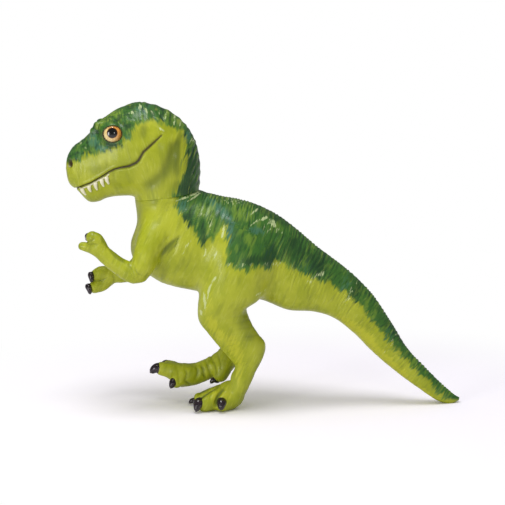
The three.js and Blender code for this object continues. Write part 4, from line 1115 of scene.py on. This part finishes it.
# The lids: round their opening the skin is drawn over the eye ball, inside it lies under the ball.
lids = np.hypot((head_x - LIDS[0]) / LID_SIZES[0], (head_z - LIDS[1]) / LID_SIZES[1])
eye_deep = skin_reach(HEAD, *EYE_SPOT) + EYE_STAND - EYE_RADIUS
eye_off = np.hypot(head_x - EYE_SPOT[0], head_z - EYE_SPOT[1])
over_ball = np.sqrt(np.maximum((EYE_RADIUS + LID_THICK) ** 2 - eye_off ** 2, 0)) + eye_deep
under_ball = np.sqrt(np.maximum(EYE_RADIUS ** 2 - eye_off ** 2, 0)) + eye_deep - SOCKET_DEEP
side = np.sign(head_points[:, 1] - SHIFT[1])
out = np.abs(head_points[:, 1] - SHIFT[1])
lid_out = np.where(lids < 1, under_ball, np.maximum(over_ball, out))
held = ease(1.95, 1.45, lids) * (head_up > -0.3)
head_points[:, 1] = SHIFT[1] + side * (out + (lid_out - out) * held)

# The mouth is a groove, wider towards its corner. The jaw's edge is a shallow hollow behind it.
mouth_apart, mouth_share, mouth_above = stroke(MOUTH, head_points)
jaw_apart, jaw_share, _ = stroke(JAW_EDGE, head_points)
mouth_open = (0.6 + 0.4 * ease(0.0, 0.12, mouth_share)) * (1 - 0.4 * ease(0.6, 1.0, mouth_share))
mouth_width = 0.36 + 0.3 * ease(0.35, 0.7, mouth_share) - 0.3 * ease(0.88, 1.0, mouth_share)
groove = bell(mouth_apart, 0, mouth_width * 1.4) * mouth_open
lip_front = 1 - ease(0.42, 0.62, mouth_share)
round_snout = np.maximum(flank, ease(-86.0, -90.0, head_x))

# Textures from about -1 to 1, and where each lies: lumps on the snout, folds across the cap.
head_folds = skin_folds(head_points, 61)
lumps = grain(head_points / 1.7, 62) + 0.5 * grain(head_points / 0.9, 63)
cap_folds = np.sin(2 * np.pi * (head_over / 2.5 + 0.22 * grain(head_points / 5.0, 64)))
cap_folds *= 0.3 + 0.7 * ease(-0.3, 0.4, grain(head_points / [2.6, 3.0, 4.5], 65))
on_cap = ease(-1.0, 1.5, mask) * ease(-66.0, -56.0, head_x)
on_snout = ease(-0.5, 1.5, mask) * (1 - on_cap)
snout_folds = np.sin(2 * np.pi * (head_x / 2.2 + 0.3 * grain(head_points / 4.0, 66)))
on_lip = ease(-84.0, -90.0, head_x) * ease(112.0, 115.0, head_z) * (1 - ease(-2.0, 0.0, mask))
lid = 0.25 * bell(lids, 1.22, 0.12) - 0.3 * bell(lids, 1.6, 0.15)
nostril = mound(head_points, NOSTRIL, (1.35, 2.15), 8, 4.0)
away = ease(1.15, 1.7, lids)

# How far the skin stands out of the casting's form, in mm.
height = 0.03 * head_folds
height += away * (on_snout * SNOUT_LUMPS * lumps + on_cap * CAP_FOLDS * cap_folds
                  + on_cap * CAP_LUMPS * lumps)
height += LIP_FOLDS * on_lip * snout_folds * flank
height += flank * lid
brow_ridge = mound(head_points, (-74.6, 142.6), (5.6, 1.8), 26, 2.4)
height += brow_ridge * flank * ease(1.1, 1.4, lids)
for brow_x, brow_out, brow_z, brow_high in BROWS:
    brow = head_points - [brow_x, SHIFT[1], brow_z]
    brow[:, 1] = np.abs(brow[:, 1]) - brow_out
    height += brow_high * np.exp(-np.sum(brow ** 2, 1) / 5.0)
height -= MOUTH_DEPTH * groove * round_snout
height += 0.25 * flank * lip_front * bell(mouth_above, 0.9, 0.7)
height -= 0.4 * flank * lip_front * ease(0.0, -0.4, mouth_above) * ease(-5.0, -1.5, mouth_above)
height -= JAW_DEPTH * bell(jaw_apart, 0, 2.2) * flank * ease(0.0, 0.25, jaw_share)
height += 0.6 * mound(head_points, (-49.1, 137.4), (2.3, 0.8), -30) * flank
nostril_rim = bell(mound(head_points, NOSTRIL, (1.9, 2.7), 8), 0.45, 0.2)
height -= NOSTRIL_DEPTH * nostril - 0.2 * nostril_rim
head_normals = normals_of(head_points, head_quads, head_tris)
head_points = head_points + (height * loose)[:, None] * head_normals

# The dark line round the eye and in the mouth, and painted shade with washed-in paint along the
# jaw's edge, on the cheek and in the mouth's groove.
lid_paint = bell(lids, 1.03, 0.09, 4) * flank
mouth_paint = bell(mouth_apart, 0, mouth_width, 4) * round_snout
mouth_paint *= 1 - 0.1 * ease(0.5, 0.75, mouth_share)
head_relief = away * (on_cap * cap_folds + on_snout * lumps * 0.9) + head_folds * 0.12
head_relief += 1.2 * mound(head_points, (-76.0, 142.2), (5.5, 1.4), 27) * flank
head_wash = 0.76 * bell(jaw_apart, 0, 3.5) * ease(0.0, 0.3, jaw_share)
head_wash += (0.3 * mound(head_points, (-44.5, 124.0), (3.4, 9.0), 8)
              + 0.25 * mound(head_points, (-46, 108), (6, 5)))
head = piece_mesh("head_skin", head_points, head_quads, head_tris, dark=mask, relief=head_relief,
                  wash=np.clip(head_wash * flank + 0.6 * groove, 0, 1),
                  line=np.clip(np.maximum.reduce([lid_paint, mouth_paint, nostril]), 0, 1),
                  over=head_over, down=head_z, **brushwork(head_points, HEAD_PAINT))
head.data.materials.append(vinyl)
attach(head, "head")
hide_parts("head_shell")

# Eyes
# Two glossy balls, printed in one piece: a black pupil with a brown ring on an iris that runs
# from cream at the front to orange at the back. Each is pressed into the head to its rim.
PUPIL_LIFT = 0.85  # mm that the pupil looks up


def ball_skin(centre, radius, rings, sides):
    """Closed skin of a ball: rings of points by two angles, with a pole on either side."""
    fall, turn = np.linspace(0, np.pi, rings + 2)[1:-1, None], ring_angles(sides)
    grid = np.stack(np.broadcast_arrays(np.sin(fall) * np.cos(turn), np.cos(fall),
                                        np.sin(fall) * np.sin(turn)), -1)
    poles = np.array([[0, 1.0, 0], [0, -1.0, 0]])
    return grid_skin(centre + radius * grid, *(centre + radius * poles))


def eye_enamel():
    """Glossy printed eye, coloured by the distance from its pupil in mm and the way round it."""
    made, tree = new_material("glossy_eye_enamel")
    radial, turned = (add(tree, "Attribute", attribute_name=name).outputs["Fac"]
                      for name in ("radial", "turned"))
    spot = add(tree, "TexCoord").outputs["Object"]
    fibres = add(tree, "TexNoise", {"Vector": spot, "Scale": 900.0, "Detail": 3.0}).outputs[0]
    iris = blend(tree, ranged(tree, turned, -0.7, 0.8), "#F8E09A", "#EFA246")
    iris = blend(tree, ranged(tree, fibres, 0.4, 0.7, 0, 0.25), iris, "#D8954A")
    colour = blend(tree, ranged(tree, radial, 2.75, 2.5), iris, "#3A1608")
    colour = blend(tree, ranged(tree, radial, 2.2, 2.0), colour, "#050507")
    coated(tree, colour, 0.12, {"Coat Weight": 0.8, "Coat Roughness": 0.04})
    return made


enamel = eye_enamel()
for name, side in (("left_eye", -1), ("right_eye", 1)):
    centre = np.array([EYE_SPOT[0], SHIFT[1] + side * eye_deep, EYE_SPOT[1]])
    points, quads, tris = ball_skin(centre, EYE_RADIUS, 96, 128)
    ahead = side * math.sqrt(EYE_RADIUS ** 2 - PUPIL_LIFT ** 2)
    gaze = np.array([0, ahead, PUPIL_LIFT]) / EYE_RADIUS
    outward = (points - centre) / EYE_RADIUS
    radial = EYE_RADIUS * np.arccos(np.clip(outward @ gaze, -1, 1))
    eye = piece_mesh(name + "_ball", points, quads, tris, radial=radial,
                     turned=(outward[:, 0] * 0.8 + outward[:, 2] * 0.5) * EYE_RADIUS / LID_SIZES[0])
    eye.data.materials.append(enamel)
    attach(eye, "head")
    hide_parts(name)

# Teeth
# Five short cream cones on each side hang from the upper lip over the lower one. They are one
# strip of harder plastic, whose band sits in the mouth line.
TOOTH_FEET = [(-88.0, 108.9), (-84.4, 110.4), (-81.3, 112.1), (-78.3, 113.8), (-75.9, 114.9)]
TOOTH_TIPS = [(-86.1, 105.7), (-83.5, 107.4), (-80.5, 108.4), (-77.2, 110.1), (-74.8, 111.4)]
TOOTH_RADIUS, TOOTH_GIRTH = 0.95, [0.9, 1.05, 0.9, 0.45]  # mm, and shares of it from root to tip
BAND_RADIUS, BAND_DEEP = 0.35, 0.45  # mm, of the strip, and how deep it lies in the skin


def swept_skin(path, girth, steps, sides):
    """Closed skin of a horn: rings round a smooth path, closed by a pole at each end."""
    share = np.linspace(0, 1, steps)
    centre = curve_through(path, share)
    radius = curve_through(np.array(girth)[:, None], share)[:, 0]
    along = unit_rows(np.gradient(centre, axis=0))
    grid = rings_round(centre, radius, along, [0.3, 1.0, 0.1], sides)
    return grid_skin(grid, centre[0] - along[0] * radius[0] * 0.4,
                     centre[-1] + along[-1] * radius[-1] * 0.8)


def tooth_plastic():
    """Cream plastic, a little darker and warmer at the roots, with a soft gloss."""
    made, tree = new_material("cream_tooth_plastic")
    spot = add(tree, "TexCoord").outputs["Object"]
    root = add(tree, "Attribute", attribute_name="root").outputs["Fac"]
    mottle = add(tree, "TexNoise", {"Vector": spot, "Scale": 1500.0, "Detail": 2.0}).outputs[0]
    colour = blend(tree, ranged(tree, mottle, 0.35, 0.7, 0, 0.3), "#F8F4D4", "#E6E0B0")
    colour = blend(tree, combined(tree, "MULTIPLY", root, 0.6), colour, "#A8A468")
    bump = add(tree, "Bump", {"Height": mottle, "Strength": 0.1, "Distance": 0.0001}).outputs[0]
    coated(tree, colour, 0.3, {"Coat Weight": 0.3, "Normal": bump})
    return made


cream = tooth_plastic()
for name, side in (("left_tooth_row", -1), ("right_tooth_row", 1)):
    skins = []
    for foot, tip in zip(TOOTH_FEET, TOOTH_TIPS):
        foot = np.array([foot[0], SHIFT[1] + side * (skin_reach(HEAD, *foot) - 0.1), foot[1]])
        tip = np.array([tip[0], SHIFT[1] + side * (skin_reach(HEAD, *tip) + 0.25), tip[1]])
        bow = (foot + tip) / 2 + [-0.2, side * 0.25, 0]
        girth = np.array(TOOTH_GIRTH) * TOOTH_RADIUS
        skins.append(swept_skin([foot, foot * 0.7 + bow * 0.3, bow, tip], girth, 24, 28))
    band = [[x, SHIFT[1] + side * (skin_reach(HEAD, x, z) - BAND_DEEP), z]
            for x, z in [(-89.0, 109.0), *TOOTH_FEET, (-74.6, 116.2)]]
    skins.append(swept_skin(band, [BAND_RADIUS] * len(band), 60, 16))
    points, quads, tris = joined_skins(skins)
    _, _, above = stroke(MOUTH, points)
    row = piece_mesh(name + "_strip", points, quads, tris, root=ease(-1.3, 0.1, above))
    row.data.materials.append(cream)
    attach(row, "head")
    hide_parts(name)

# Claws
# Twelve near-black horns of hard plastic, each set into its toe or finger by a short root and
# left glossy. They taper from the cuticle and bow upwards, and each has its own size.
TOE_CLAW, HAND_CLAW = (4.7, 2.35), (3.2, 1.6)  # length and radius in mm
CLAW_ROOT, CLAW_BEND = 1.4, 0.22  # mm inside the toe, and the bow as a share of the length
CLAW_GIRTH = [0.8, 1.0, 1.0, 0.84, 0.5]  # shares of the radius from root to tip
CLAWS = {
    "left_inner_toe_claw": ([0.322, 0.12, 0.011], [-0.9, -0.15, -0.12], 0.66),
    "left_middle_toe_claw": ([0.335, -0.41, 0.03], [-0.3, -0.75, -0.5], 1.1),
    "left_outer_toe_claw": ([0.39, -0.4, 0.03], [-0.05, -0.85, -0.35], 1.08),
    "left_dewclaw": ([0.442, 0.09, 0.087], [-0.1, 0.25, -0.9], 0.8),
    "right_inner_toe_claw": ([0.27, 0.22, 0.075], [-0.45, -0.75, -0.45], 0.95),
    "right_middle_toe_claw": ([0.234, 0.45, 0.106], [-0.9, -0.15, -0.15], 1.15),
    "right_outer_toe_claw": ([0.248, 0.77, 0.112], [-0.8, 0.35, -0.2], 0.75),
    "right_dewclaw": ([0.376, 0.244, 0.079], [-0.8, -0.25, -0.3], 0.7),
    "left_upper_hand_claw": ([0.064, -0.77, 0.584], [-0.3, 0.75, -0.6], 1.0),
    "left_lower_hand_claw": ([0.048, -0.75, 0.552], [-0.2, 0.75, -0.5], 0.75),
    "right_upper_hand_claw": ([0.052, 0.667, 0.417], [0.1, -0.5, -0.85], 1.05),
    "right_lower_hand_claw": ([0.045, 0.651, 0.378], [0.25, -0.45, -0.85], 1.05),
}  # place of the cuticle, the way the claw points, and its size


def claw_enamel():
    """Glossy near-black claw, a touch browner in streaks along the horn."""
    made, tree = new_material("glossy_claw_enamel")
    spot = add(tree, "TexCoord").outputs["Object"]
    streaks = add(tree, "TexNoise", {"Vector": spot, "Scale": 700.0, "Detail": 3.0}).outputs[0]
    colour = blend(tree, ranged(tree, streaks, 0.35, 0.7), "#1A1218", "#35262E")
    bump = add(tree, "Bump", {"Height": streaks, "Strength": 0.15, "Distance": 0.0002}).outputs[0]
    coated(tree, colour, 0.22, {"Coat Weight": 0.6, "Coat Roughness": 0.08, "Normal": bump})
    return made


horn = claw_enamel()
for name, (cuticle, way, size) in CLAWS.items():
    length, radius = np.array(HAND_CLAW if "hand" in name else TOE_CLAW) * size
    way = np.array(way) / np.linalg.norm(way)
    along = np.linspace(-CLAW_ROOT, length, len(CLAW_GIRTH))
    bow = np.maximum(1 - (2 * along / length - 1) ** 2, 0) * CLAW_BEND * length
    path = place(*cuticle) + along[:, None] * way + bow[:, None] * [0, 0, 1]
    points, quads, tris = swept_skin(path, np.array(CLAW_GIRTH) * radius, 40, 40)
    points[:, 2] = np.maximum(points[:, 2], 0)
    claw = piece_mesh(name + "_horn", points, quads, tris)
    claw.data.materials.append(horn)
    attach(claw, "trunk")
    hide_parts(name)

# Studio
# The figure stands on a white sweep under a large top box, with a tall box to the camera's left
# and a small one beside the camera. The floor under it takes a soft shadow.
SWEEP_HALF = 4000.0  # mm
SWEEP_BOUNCE, SWEEP_LEVEL = 0.8, 1.12  # how white it is to the light, and to the camera
SWEEP_TINT = (1.004, 0.97, 1.038)  # a trace of lilac, seen only in the shadow
SWEEP_MIDDLE = (0.02, 0.0, 0.0)  # m, the middle of the figure's shadow
SWEEP_FADE = (0.09, 0.22)  # m from there over which the camera sees it fade
SKY_LIGHT, SKY_GLOSS = 0.53, 0.16  # strength of the white world as light, and in reflections
EYE_LEVEL = math.radians(9)  # how far the camera looks down
CAMERA_AIM, CAMERA_AWAY, LENS = Vector((-0.00649, 0.000659, 0.0765)), 0.9, 132.4  # m, m and mm


def sweep_white():
    """Matt white sweep. To the camera alone it is paler, and away from the figure it fades into
    the plain white behind it."""
    made, tree = new_material("matt_white_sweep")
    seen = add(tree, "LightPath").outputs["Is Camera Ray"]
    level = add(tree, "MapRange", {"Value": seen, "To Min": SWEEP_BOUNCE,
                                   "To Max": SWEEP_LEVEL}).outputs[0]
    tint = add(tree, "VectorMath", {0: SWEEP_TINT, "Scale": level}, operation="SCALE").outputs[0]
    matt = add(tree, "BsdfDiffuse", {"Color": tint}).outputs[0]
    white = add(tree, "Emission", {"Color": linear("#FFFFFF")}).outputs[0]
    away = add(tree, "VectorMath", {0: add(tree, "TexCoord").outputs["Object"], 1: SWEEP_MIDDLE},
               operation="DISTANCE")
    fade = ranged(tree, away.outputs["Value"], *SWEEP_FADE)
    surface = add(tree, "MixShader", {0: combined(tree, "MULTIPLY", fade, seen), 1: matt, 2: white})
    add(tree, "OutputMaterial", {"Surface": surface.outputs[0]})
    return made


corners = np.array([[-1, -1, 0], [1, -1, 0], [1, 1, 0], [-1, 1, 0]]) * SWEEP_HALF
floor = piece_mesh("sweep", corners, np.array([[0, 1, 2, 3]]), NO_TRIS)
floor.data.materials.append(sweep_white())

world = bpy.data.worlds.new("studio")
bpy.context.scene.world = world
world.use_nodes = True
air = world.node_tree
air.nodes.clear()
ray = add(air, "LightPath")
dim = add(air, "MapRange", {"Value": ray.outputs["Is Glossy Ray"], "To Min": SKY_LIGHT,
                            "To Max": SKY_GLOSS}).outputs[0]
strength = combined(air, "MAXIMUM", ray.outputs["Is Camera Ray"], dim)
sky = add(air, "Background", {"Color": linear("#FFFFFF"), "Strength": strength}).outputs[0]
add(air, "OutputWorld", {"Surface": sky})


def soft_box(name, spot, aim, sizes, power):
    """A rectangular area lamp at a spot, turned to its aim, in metres and watts."""
    lamp = bpy.data.lights.new(name, "AREA")
    lamp.shape, (lamp.size, lamp.size_y), lamp.energy = "RECTANGLE", sizes, power
    made = bpy.data.objects.new(name, lamp)
    made.location = spot
    made.rotation_euler = (Vector(aim) - Vector(spot)).to_track_quat("-Z", "Y").to_euler()
    bpy.context.scene.collection.objects.link(made)


soft_box("top_box", (-0.12, -0.16, 0.78), (0, 0, 0.05), (0.3, 0.3), 2.45)
soft_box("left_box", (-0.55, -0.62, 0.17), (0, 0, 0.09), (0.16, 0.34), 1.35)
soft_box("near_box", (0.17, -0.81, 0.3), (0, 0, 0.09), (0.12, 0.12), 0.3)

camera = bpy.data.objects.new("camera", bpy.data.cameras.new("camera"))
away = Vector((0, -math.cos(EYE_LEVEL), math.sin(EYE_LEVEL)))
camera.location = CAMERA_AIM + CAMERA_AWAY * away
camera.rotation_euler = (CAMERA_AIM - camera.location).to_track_quat("-Z", "Y").to_euler()
camera.data.sensor_width, camera.data.lens = 36, LENS
bpy.context.scene.collection.objects.link(camera)
bpy.context.scene.camera = camera
bpy.context.scene.view_settings.view_transform = "Standard"
